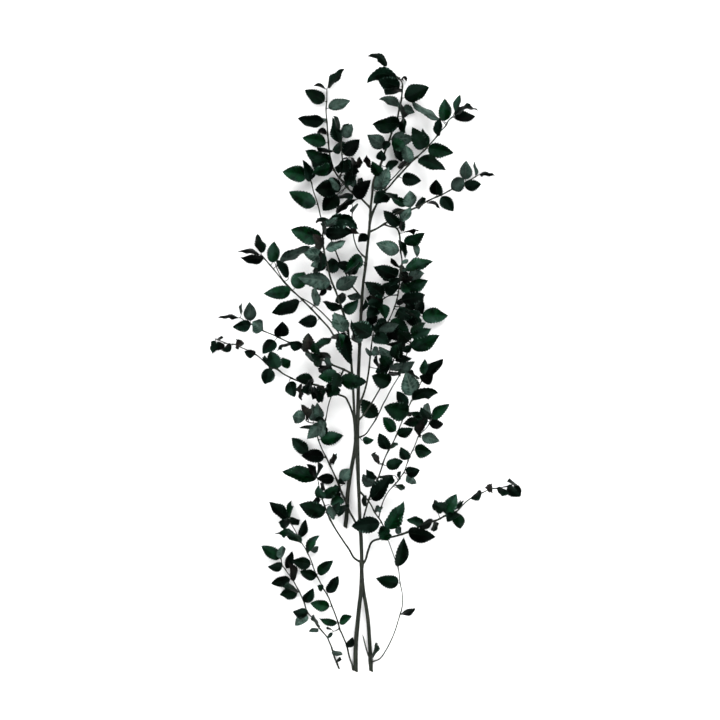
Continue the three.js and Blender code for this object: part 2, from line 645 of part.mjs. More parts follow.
// The ways in which a leaf could lie and still look as long and as wide from above as it does:
// its base higher or lower, tilted up or down along its length, and rolled to either side
function leafPoses(row, wood, number) {
  const foot = nearestPlace(wood, row.x, row.y);
  const heading = new THREE.Vector2(row.tipX - row.x, row.tipY - row.y).normalize();
  const base = new THREE.Vector2(row.x, row.y);
  if (foot.distance < SHORTEST_PETIOLE) {
    base.set(foot.place.x, foot.place.y).addScaledVector(heading, SHORTEST_PETIOLE);
  }
  const reach = base.distanceTo(new THREE.Vector2(row.tipX, row.tipY));
  const natural = FULL_LEAF * (0.9 + 0.2 * draw(number, 1));
  const wanted = natural / reach;
  const shortening = THREE.MathUtils.clamp(wanted, SHALLOWEST_FORESHORTENING, DEEPEST_FORESHORTENING);
  const tilt = Math.acos(1 / shortening) * (draw(number, 2) < 0.5 ? -1 : 1);
  const rollSide = draw(number, 3) < 0.5 ? -1 : 1;
  const seenWidth = READ_WIDTH_FACTOR * row.width;
  const archShare = THREE.MathUtils.lerp(LEAST_ARCH, MOST_ARCH, draw(number, 4));
  const tilts = EXTRA_TILTS.flatMap((extra) => {
    const steeper = tilt + Math.sign(tilt) * extra;
    return [steeper, -steeper];
  });
  const poses = [];
  for (const lift of BASE_LIFTS) {
    const start = new THREE.Vector3(base.x, base.y, foot.place.z + lift * (1 + 0.1 * foot.distance));
    for (const pitch of [...tilts, 0]) {
      for (const side of [rollSide, -rollSide]) {
        const length = reach / Math.cos(pitch);
        const width = Math.max(LEAF_WIDTH_SPARE * seenWidth, LEAF_ASPECT * length);
        const roll = Math.min(Math.acos(seenWidth / width), STEEPEST_ROLL) * side;
        const arch = archShare * length;
        poses.push({ root: foot.place, start, heading, reach, length, pitch, width, roll, arch });
      }
    }
  }
  return poses;
}

// The middle of the blade at a share of its length
function midrib(pose, bow, share) {
  const swell = 4 * share * (1 - share);
  const along = pose.reach * share;
  const height = pose.start.z + pose.length * Math.sin(pose.pitch) * share + pose.arch * swell;
  return new THREE.Vector3(
    pose.start.x + pose.heading.x * along - pose.heading.y * bow * swell,
    pose.start.y + pose.heading.y * along + pose.heading.x * bow * swell,
    restAboveTable(height),
  );
}

// Directions at a share of the blade: along it, across it to the left, and up through it
function bladeFrame(pose, bow, share) {
  const along = midrib(pose, bow, share + 0.02).sub(midrib(pose, bow, share - 0.02)).normalize();
  const level = new THREE.Vector3(0, 0, 1).cross(along).normalize();
  const upright = along.clone().cross(level);
  const across = level.clone().multiplyScalar(Math.cos(pose.roll));
  across.addScaledVector(upright, Math.sin(pose.roll));
  return { along, across, up: along.clone().cross(across) };
}

// Six points round the blade: left edge, midrib and right edge on top, then the same underneath
function bladeRing(pose, bow, share, widthShare, fold) {
  const middle = midrib(pose, bow, share);
  const { across, up } = bladeFrame(pose, bow, share);
  const half = (pose.width / 2) * widthShare;
  const lift = half * Math.sin(fold);
  const side = half * Math.cos(fold);
  const thick = BLADE_THICKNESS / 2;
  const place = (sideways, height) => {
    return middle.clone().addScaledVector(across, sideways).addScaledVector(up, height);
  };
  return [
    place(side, lift + thick), place(0, thick), place(-side, lift + thick),
    place(-side, lift - thick), place(0, -thick), place(side, lift - thick),
  ];
}

// Of the ways to lie, the one that is least crowded by the wood and by the leaves laid before
function freestPose(row, poses, fold, taken) {
  const middle = midrib(poses[0], row.bow, 0.5);
  const near = taken.filter((other) => other.distanceTo(middle) < poses[0].reach + ROOM_WANTED);
  let best = { crowding: Infinity };
  for (const pose of poses) {
    const places = [];
    for (let i = 1; i <= ROOM_STEPS; i += 1) {
      const share = (i - 0.2) / ROOM_STEPS;
      places.push(...bladeRing(pose, row.bow, share, 1 - share * share, fold).slice(0, 3));
    }
    let crowding = 0;
    for (const other of near) {
      for (const place of places) {
        const closeness = Math.max(0, 1 - place.distanceTo(other) / ROOM_WANTED);
        crowding += closeness * closeness;
      }
    }
    if (crowding < best.crowding) {
      best = { crowding, pose, places };
    }
  }
  taken.push(...best.places);
  return best.pose;
}

// Three points round the petiole: left, right and underneath
function petioleRing(middle, stalk) {
  const across = new THREE.Vector3(0, 0, 1).cross(stalk).normalize();
  const up = stalk.clone().cross(across);
  return [
    middle.clone().addScaledVector(across, PETIOLE_HALF_WIDTH).addScaledVector(up, PETIOLE_TOP),
    middle.clone().addScaledVector(across, -PETIOLE_HALF_WIDTH).addScaledVector(up, PETIOLE_TOP),
    middle.clone().addScaledVector(up, PETIOLE_BOTTOM),
  ];
}

// A leaf is closed from its petiole's root, sunk in the wood, over the blade's base, to its point
function leafGeometry(row, pose, fold) {
  const stalk = pose.start.clone().sub(pose.root).normalize();
  const rows = row.width > NARROW_LEAF ? BLADE_ROWS : NARROW_BLADE_ROWS;
  const blades = rows.map(([share, widthShare]) => bladeRing(pose, row.bow, share, widthShare, fold));
  const points = [
    ...petioleRing(pose.root, stalk),
    ...petioleRing(pose.start, stalk),
    ...blades.flat(),
    midrib(pose, row.bow, 1),
  ];
  const faces = [[0, 2, 1]];
  for (const [a, b] of [[0, 1], [1, 2], [2, 0]]) {
    faces.push([a, b, a + 3], [b, b + 3, a + 3]);
  }
  faces.push([3, 7, 6], [3, 4, 7], [4, 8, 7], [4, 9, 8], [4, 5, 9]);
  faces.push([5, 10, 9], [5, 11, 10], [5, 3, 11], [3, 6, 11]);
  const tip = points.length - 1;
  const last = tip - 6;
  for (let i = 0; i < 6; i += 1) {
    const j = (i + 1) % 6;
    faces.push([last + i, last + j, tip]);
    if (last > 6 && i < 3) {
      faces.push([6 + i, last + j, last + i], [6 + i, 6 + j, last + j]);
    } else if (last > 6) {
      faces.push([6 + i, 6 + j, last + i], [6 + j, last + j, last + i]);
    }
  }
  const geometry = new THREE.BufferGeometry();
  geometry.setAttribute("position", new THREE.Float32BufferAttribute(points.flatMap((p) => p.toArray()), 3));
  geometry.setIndex(faces.flat());
  return geometry;
}

// A branch's wood and that of the twigs it bears, with the leaves of each
function growBranches(branch, wood, sides) {
  const grown = [{ wood, sides, leaves: branch.leaves }];
  for (const twig of branch.twigs ?? []) {
    grown.push(...growBranches(twig, growTwig(twig, wood), TWIG_SIDES));
  }
  return grown;
}

// The wood of one stem, from its own to its last twig's
function growStem(stem) {
  const loose = stem.radius[0] < LOOSE_TWIG_RADIUS;
  const points = stem.route.map(([x, y, z]) => new THREE.Vector3(x, y, z));
  const wood = layWood(points, stem.radius, loose ? TWIG_STEP : STEM_STEP);
  return growBranches(stem, wood, loose ? TWIG_SIDES : STEM_SIDES);
}

// Places along the wood that leaves keep clear of
function placesAlong(wood) {
  const places = [];
  for (let i = 0; i < wood.steps; i += 1) {
    for (let part = 0; part < ROOM_STEPS; part += 1) {
      places.push(wood.centres[i].clone().lerp(wood.centres[i + 1], part / ROOM_STEPS));
    }
  }
  return places;
}

// Every solid of one stem: its wood first, then its leaves one by one where there is room
function stemSolids(branches, taken, counter) {
  const solids = branches.map((branch) => toSolid(woodGeometry(branch.wood, branch.sides)));
  for (const branch of branches) {
    for (const row of branch.leaves) {
      counter.leaves += 1;
      const fold = row.faceUp ? FOLD_ANGLE : -FOLD_ANGLE;
      const pose = freestPose(row, leafPoses(row, branch.wood, counter.leaves), fold, taken);
      solids.push(toSolid(leafGeometry(row, pose, fold)));
    }
  }
  return solids;
}

// Joins solids two by two, so that no join is between very unequal meshes
function joinAll(solids) {
  let round = solids;
  while (round.length > 1) {
    const next = [];
    for (let i = 0; i < round.length; i += 2) {
      next.push(i + 1 < round.length ? round[i].add(round[i + 1]) : round[i]);
    }
    round = next;
  }
  return round[0];
}

// What lies below the table's surface, taken off every stem so that it rests on small flats
function tableSolid() {
  const block = new THREE.BoxGeometry(...TABLE_BLOCK);
  block.translate(0, TABLE_BLOCK[1] / 3, -TABLE_BLOCK[2] / 2);
  block.deleteAttribute("normal");
  block.deleteAttribute("uv");
  return toSolid(mergeVertices(block));
}

function solidGeometry(solid) {
  const mesh = solid.getMesh();
  const geometry = new THREE.BufferGeometry();
  geometry.setAttribute("position", new THREE.BufferAttribute(new Float32Array(mesh.vertProperties), 3));
  geometry.setIndex(new THREE.BufferAttribute(new Uint32Array(mesh.triVerts), 1));
  geometry.computeVertexNormals();
  return geometry;
}

const counter = { leaves: 0 };
const table = tableSolid();
const spray = new THREE.Group();
const grown = bunch.map((stem) => ({ stem, branches: growStem(stem) }));
const taken = grown.flatMap(({ branches }) => branches.flatMap((branch) => placesAlong(branch.wood)));
for (const { stem, branches } of grown) {
  const solid = joinAll(stemSolids(branches, taken, counter)).subtract(table);
  const material = new THREE.MeshStandardMaterial({ color: stem.colour, roughness: 0.7, metalness: 0 });
  const mesh = new THREE.Mesh(solidGeometry(solid), material);
  mesh.name = stem.name;
  spray.add(mesh);
}

// The origin is the middle of the footprint, on the table
const box = new THREE.Box3().setFromObject(spray);
spray.position.set(-(box.min.x + box.max.x) / 2, -(box.min.y + box.max.y) / 2, -box.min.z);
spray.updateMatrixWorld(true);

export default spray;
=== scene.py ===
"""A loose spray of dried ruscus lying on a pale table: three leafy cut stems and two loose twigs.

The wood and the leaves of each stem take the place of its plain solid and keep its form. The tables
give every stem in layout millimetres: +X to the right, +Y up the spray from the cut feet, +Z up from
the table. A leaf's row says where its blade starts and ends seen from above and how wide it looks.
"""

import logging
import math
from dataclasses import dataclass, field, fields
from enum import Enum, IntEnum
from functools import cached_property, partial
from itertools import product
from typing import Any, ClassVar

import bpy
import numpy as np
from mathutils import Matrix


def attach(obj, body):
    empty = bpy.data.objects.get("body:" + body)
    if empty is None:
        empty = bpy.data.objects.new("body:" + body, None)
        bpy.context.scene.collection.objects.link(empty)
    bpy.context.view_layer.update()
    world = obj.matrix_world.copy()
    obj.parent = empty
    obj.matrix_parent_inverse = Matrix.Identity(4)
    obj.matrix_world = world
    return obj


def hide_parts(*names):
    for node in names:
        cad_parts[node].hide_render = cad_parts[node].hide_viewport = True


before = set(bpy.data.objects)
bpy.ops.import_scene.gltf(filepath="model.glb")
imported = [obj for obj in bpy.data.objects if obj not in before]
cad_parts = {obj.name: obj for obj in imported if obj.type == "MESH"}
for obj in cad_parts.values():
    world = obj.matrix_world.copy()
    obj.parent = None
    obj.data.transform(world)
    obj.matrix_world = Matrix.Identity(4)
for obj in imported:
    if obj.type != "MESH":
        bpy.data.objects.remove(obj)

logging.basicConfig(level=logging.INFO, format="%(message)s")
report = logging.getLogger("dried_ruscus")

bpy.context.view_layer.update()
LAYOUT_ORIGIN = np.array([4.8826218, 385.8739443, 0.0])
METRES = 0.001


class LeafKind(Enum):
    """What a leaf shows from above."""

    GREEN = "green"
    DARK = "dark"
    PALE = "pale"
    BROWN = "brown"


@dataclass(frozen=True)
class LeafRow:
    """A leaf seen from above: its blade's base, its tip, its width and how far its middle swings."""

    kind: LeafKind
    x: float
    y: float
    tip_x: float
    tip_y: float
    width: float
    bow: float = 0.0


green = partial(LeafRow, LeafKind.GREEN)
dark = partial(LeafRow, LeafKind.DARK)
pale = partial(LeafRow, LeafKind.PALE)
brown = partial(LeafRow, LeafKind.BROWN)


@dataclass(frozen=True)
class Branch:
    """A stem with a route of its own, or a twig with a path that rises from its bearer to its end."""

    radius: tuple[float, float]
    leaves: list[LeafRow]
    filling: list[LeafRow] = field(default_factory=list)
    name: str = ""
    route: list[tuple[float, float, float]] = field(default_factory=list)
    end: float = 0.0
    rise: float = 0.0
    path: list[tuple[float, float]] = field(default_factory=list)
    twigs: list["Branch"] = field(default_factory=list)


HIGH_STEM = Branch(
    name="high_stem",
    radius=(2.3, 0.75),
    route=[
        (-21, 180, 2.4), (-18.8, 200, 5), (-18, 222, 7), (-14, 250, 8), (-9.5, 275, 8.5), (-7, 300, 9),
        (-5, 340, 10), (-4.4, 376, 11), (-3, 407, 12), (-2, 432, 13), (-0.6, 457, 13.5), (1.2, 482, 14),
        (4.4, 507, 14.5), (7, 532, 15), (9.4, 557, 16), (10.6, 579, 16.5), (12.5, 595, 17),
        (14.4, 614, 18), (19, 624, 18.5), (24, 636, 19), (29, 651, 19.5), (34, 664, 20), (37.5, 675, 20),
        (44, 691, 19), (46, 701, 18), (49, 714, 17), (50, 724, 16), (50, 736, 14), (45, 742.5, 13),
        (35, 747.5, 12), (30, 754, 11),
    ],
    leaves=[
        dark(30, 756, 5, 768, 8, -8), dark(45, 742, 6, 735.5, 14, -9), dark(48, 730, 20, 738, 16),
        pale(46, 739, 28, 747, 8), dark(48, 724, 27, 727, 8), brown(47, 741, 56, 739, 3, 4),
        green(53, 717, 84, 730, 18), pale(50, 702, 66, 699, 12), pale(46, 705, 20, 715, 10, -6),
        green(47, 685, 12.5, 683, 16), pale(31, 655, 6, 671, 15), pale(35, 664, 66, 667, 15),
        dark(51, 691, 51, 672, 4), dark(25, 636, 25, 651, 10), dark(29, 631, 46, 637.5, 9),
        brown(11, 629, 5.6, 645, 6), green(23, 620, 12, 637, 12), pale(19, 601, 26, 629, 15),
        dark(9, 547, -5, 536, 10), pale(-2, 466, -19, 469, 8), pale(-4, 408, -11, 422, 10),
        green(38, 664, 56, 650, 12), pale(24, 606, 33, 630, 12), green(-3, 512, -24, 499, 12),
    ],
    filling=[
        dark(48, 712, 50, 690, 8), dark(50, 690, 54, 672, 9), dark(36, 664, 28, 650, 8),
        dark(42, 661, 50, 637, 12), dark(-2, 508, -20, 498, 8), dark(6, 436, 20, 444, 10),
        dark(4, 428, 18, 432, 10), dark(3, 452, 4, 466, 5), dark(36, 674, 16, 680, 8),
    ],
    twigs=[
        Branch(
            radius=(1.3, 0.6),
            end=5,
            rise=3,
            path=[
                (10, 579), (2.5, 587.5), (-5, 595), (-15, 601), (-21, 609), (-27.5, 616), (-32.5, 622.5),
                (-36, 629), (-39, 639), (-41, 651), (-42, 661), (-43, 674), (-44, 689), (-45, 701),
                (-44, 716), (-44, 728),
            ],
            leaves=[
                green(-43, 730, -22, 754, 9), dark(-46, 729, -62, 731, 4, -1.5),
                green(-47, 713, -72, 727.5, 14), pale(-42, 704, -14, 713.5, 12),
                green(-48, 687, -81, 691, 13), pale(-43, 687, -54, 693, 6),
                green(-45, 661, -75, 667, 14), dark(-42, 672, -57, 667, 6, -5),
                dark(-36, 650, -57, 654, 5), green(-41, 638, -71, 651, 13), dark(-37, 626, -64, 640, 19),
                green(-33, 603, -59, 602, 19), green(-31, 596, -49, 576, 17),
                dark(-29, 599, -40, 618, 13), pale(-28, 606, -42, 615, 9), dark(-9, 593, 11, 614, 15),
                green(-40, 630, -62, 624, 12),
            ],
            filling=[dark(-12, 597, -30, 592, 7), dark(-6, 596, 0, 618, 9)],
            twigs=[
                Branch(
                    radius=(0.8, 0.55),
                    end=15,
                    rise=1,
                    path=[(-27.5, 616), (-24, 630), (-25, 645), (-26, 660), (-25, 667)],
                    leaves=[
                        dark(-28, 661, -37, 693, 10), pale(-24, 667, -12, 684, 12),
                        dark(-24, 645, -2, 665, 15), green(-37, 651, -21, 662, 10),
                        dark(-23, 640, -28, 621, 8), dark(-18, 641, -10, 612, 13),
                        brown(-8, 629, -3, 643, 8), green(-20, 636, -27, 622, 12),
                        dark(-14, 622, -20, 606, 12),
                    ],
                    filling=[
                        dark(-26, 668, -16, 686, 9), dark(-28, 676, -36, 694, 6),
                        dark(-10, 640, -12, 618, 9), pale(-16, 618, -8, 604, 9),
                    ],
                ),
            ],
        ),
        Branch(
            radius=(1.0, 0.55),
            end=14,
            rise=0,
            path=[
                (0, 467), (-6, 474), (-12.5, 482), (-20, 497), (-28, 513), (-34, 528), (-40, 543),
                (-46, 556), (-51, 566), (-54, 579), (-57.5, 591), (-61, 601), (-64, 614), (-69, 624),
            ],
            leaves=[
                green(-29, 511, -46, 502, 15), pale(-27, 511, -14, 500, 9), brown(-51, 565, -58, 560, 3),
                green(-58, 584, -92, 600, 16), dark(-64, 611, -74, 640, 9),
                green(-68, 619, -100, 624, 17),
            ],
            filling=[
                dark(-62, 616, -72, 637, 9), dark(-34, 553, -10, 548, 10), dark(-30, 510, -8, 500, 10),
            ],
        ),
        Branch(
            radius=(0.8, 0.5),
            end=18,
            rise=0,
            path=[(6, 517.5), (0, 521), (-6, 529), (-10, 541), (-11.5, 556), (-12.5, 570), (-12, 583)],
            leaves=[green(-1, 519, -19, 501, 14), pale(-12, 572, -6, 585, 5)],
            filling=[brown(-14, 566, -4, 546, 7, -3)],
        ),
        Branch(
            radius=(1.2, 0.6),
            end=16,
            rise=5,
            path=[
                (11, 561), (14, 574), (20, 587.5), (26, 597.5), (34, 606), (42.5, 616), (51, 625),
                (60, 635), (70, 644), (77.5, 651), (85, 659), (92.5, 667.5), (99, 676), (105, 682.5),
                (107.5, 688), (114, 694),
            ],
            leaves=[
                dark(31, 597, 14, 585, 15), dark(50, 616.5, 74, 613, 14), green(71, 641, 105, 626, 14),
                green(80, 654, 115, 648, 15), dark(93, 668, 98, 691, 9), pale(97, 690.5, 62, 712, 8.5),
                green(103, 688, 103, 716, 13.5), green(116, 700, 123, 721, 7),
                dark(114, 691, 142, 693, 12), dark(115, 693, 145, 700, 6, 6),
                green(77, 651, 62.5, 680, 15), pale(58, 634, 54, 657, 12),
            ],
            filling=[dark(30, 598, 46, 588, 6), green(79, 652, 76, 679, 10)],
        ),
        Branch(
            radius=(0.8, 0.6),
            end=22,
            rise=3,
            path=[
                (12.5, 570), (18, 584), (24, 594), (32.5, 610), (42, 620), (50, 629), (60, 638),
                (70, 645),
            ],
            leaves=[],
            filling=[dark(56, 640, 46, 628, 8)],
        ),
        Branch(
            radius=(1.1, 0.55),
            end=6,
            rise=3,
            path=[
                (10, 549), (17.5, 553), (24, 557), (29, 560), (34, 564), (41, 571), (51, 576), (60, 577),
                (70, 581), (81, 587.5), (92.5, 593), (99, 595.6), (109, 601), (119, 606), (129, 611),
                (137.5, 616), (146, 621),
            ],
            leaves=[
                green(57, 583, 36, 593, 9), pale(61, 578, 59, 601, 14), dark(67, 583, 80, 592, 9),
                pale(50, 562, 61, 580, 10), dark(50, 578, 37, 573, 8), dark(93, 594, 92, 615, 14),
                dark(99, 594, 114, 575, 13), dark(82, 585, 97, 578, 4, 4), pale(110, 601, 128, 615, 15),
                dark(128, 607, 149, 609, 12), pale(129, 615, 130, 639, 13), pale(141, 620, 139, 638, 3),
                dark(147, 621.5, 167, 619.5, 2, 2.5),
            ],
            filling=[dark(46, 566, 52, 550, 8)],
            twigs=[
                Branch(
                    radius=(0.9, 0.55),
                    end=12,
                    rise=5,
                    path=[
                        (29, 558), (35, 556), (42.5, 554.5), (46, 549), (47.5, 539), (48, 526),
                        (50, 511), (47.5, 495), (45, 472), (41, 457), (35, 442), (30, 432),
                    ],
                    leaves=[
                        green(46, 557, 26.5, 576, 12), brown(54, 549, 71, 551, 3, 2),
                        dark(48, 541, 56, 516.5, 7), green(54, 534, 78.5, 548, 13),
                        pale(66, 535, 68, 517, 7), pale(48, 525, 17, 535, 15), dark(45, 505, 36, 517, 5),
                        green(54, 504, 89, 512.5, 13), pale(58, 492, 78, 498, 13),
                        dark(41, 495, 14, 506, 15), brown(50, 488, 64, 493, 9),
                        green(52, 478, 82.5, 489, 13), dark(50, 464, 79, 471, 14),
                        dark(44, 475, 25, 484, 15), dark(34, 438, 13, 425, 14),
                        dark(38, 426, 18, 410, 14), pale(34, 432, 47, 428, 11),
                        dark(44, 452, 62, 440, 13), dark(46, 502, 26, 489, 12),
                        green(36, 440, 60, 420, 16), dark(33, 431.5, 52, 412, 15),
                    ],
                    filling=[
                        pale(50, 508, 58, 514, 5), pale(52, 506, 46, 494, 9), dark(50, 500, 58, 493, 7),
                        dark(46, 494, 34, 482, 9), dark(46, 478, 64, 474, 9), green(47, 484, 60, 476, 9),
                    ],
                    twigs=[
                        Branch(
                            radius=(0.75, 0.55),
                            end=14,
                            rise=1,
                            path=[(45, 472), (36, 470), (27, 466), (20, 455)],
                            leaves=[
                                dark(27, 469, 3, 487, 15), green(24, 462, 29, 440, 12),
                                dark(20, 455, 6, 443, 13), dark(27, 467, 6, 460, 13),
                                dark(24, 460, 8, 451, 13),
                            ],
                            filling=[
                                dark(27, 469, 4, 484, 10), dark(24, 462, 5, 468, 10),
                                brown(22, 462, 11, 470, 8),
                            ],
                        ),
                        Branch(
                            radius=(0.75, 0.55),
                            end=12,
                            rise=1,
                            path=[(41, 457), (52, 455), (62, 450), (73, 445)],
                            leaves=[
                                green(75, 444, 108, 445, 16), dark(70, 446, 70, 431, 6),
                                dark(74, 446, 79, 461, 7), dark(52, 456, 71, 465, 13),
                                dark(56, 452, 71, 440, 10),
                            ],
                            filling=[
                                dark(46, 456, 52, 468, 7), dark(66, 450, 77, 470, 9),
                                green(56, 450, 40, 444, 9), dark(60, 450, 68, 432, 8),
                                dark(56, 446, 70, 430, 10),
                            ],
                        ),
                    ],
                ),
            ],
        ),
    ],
)

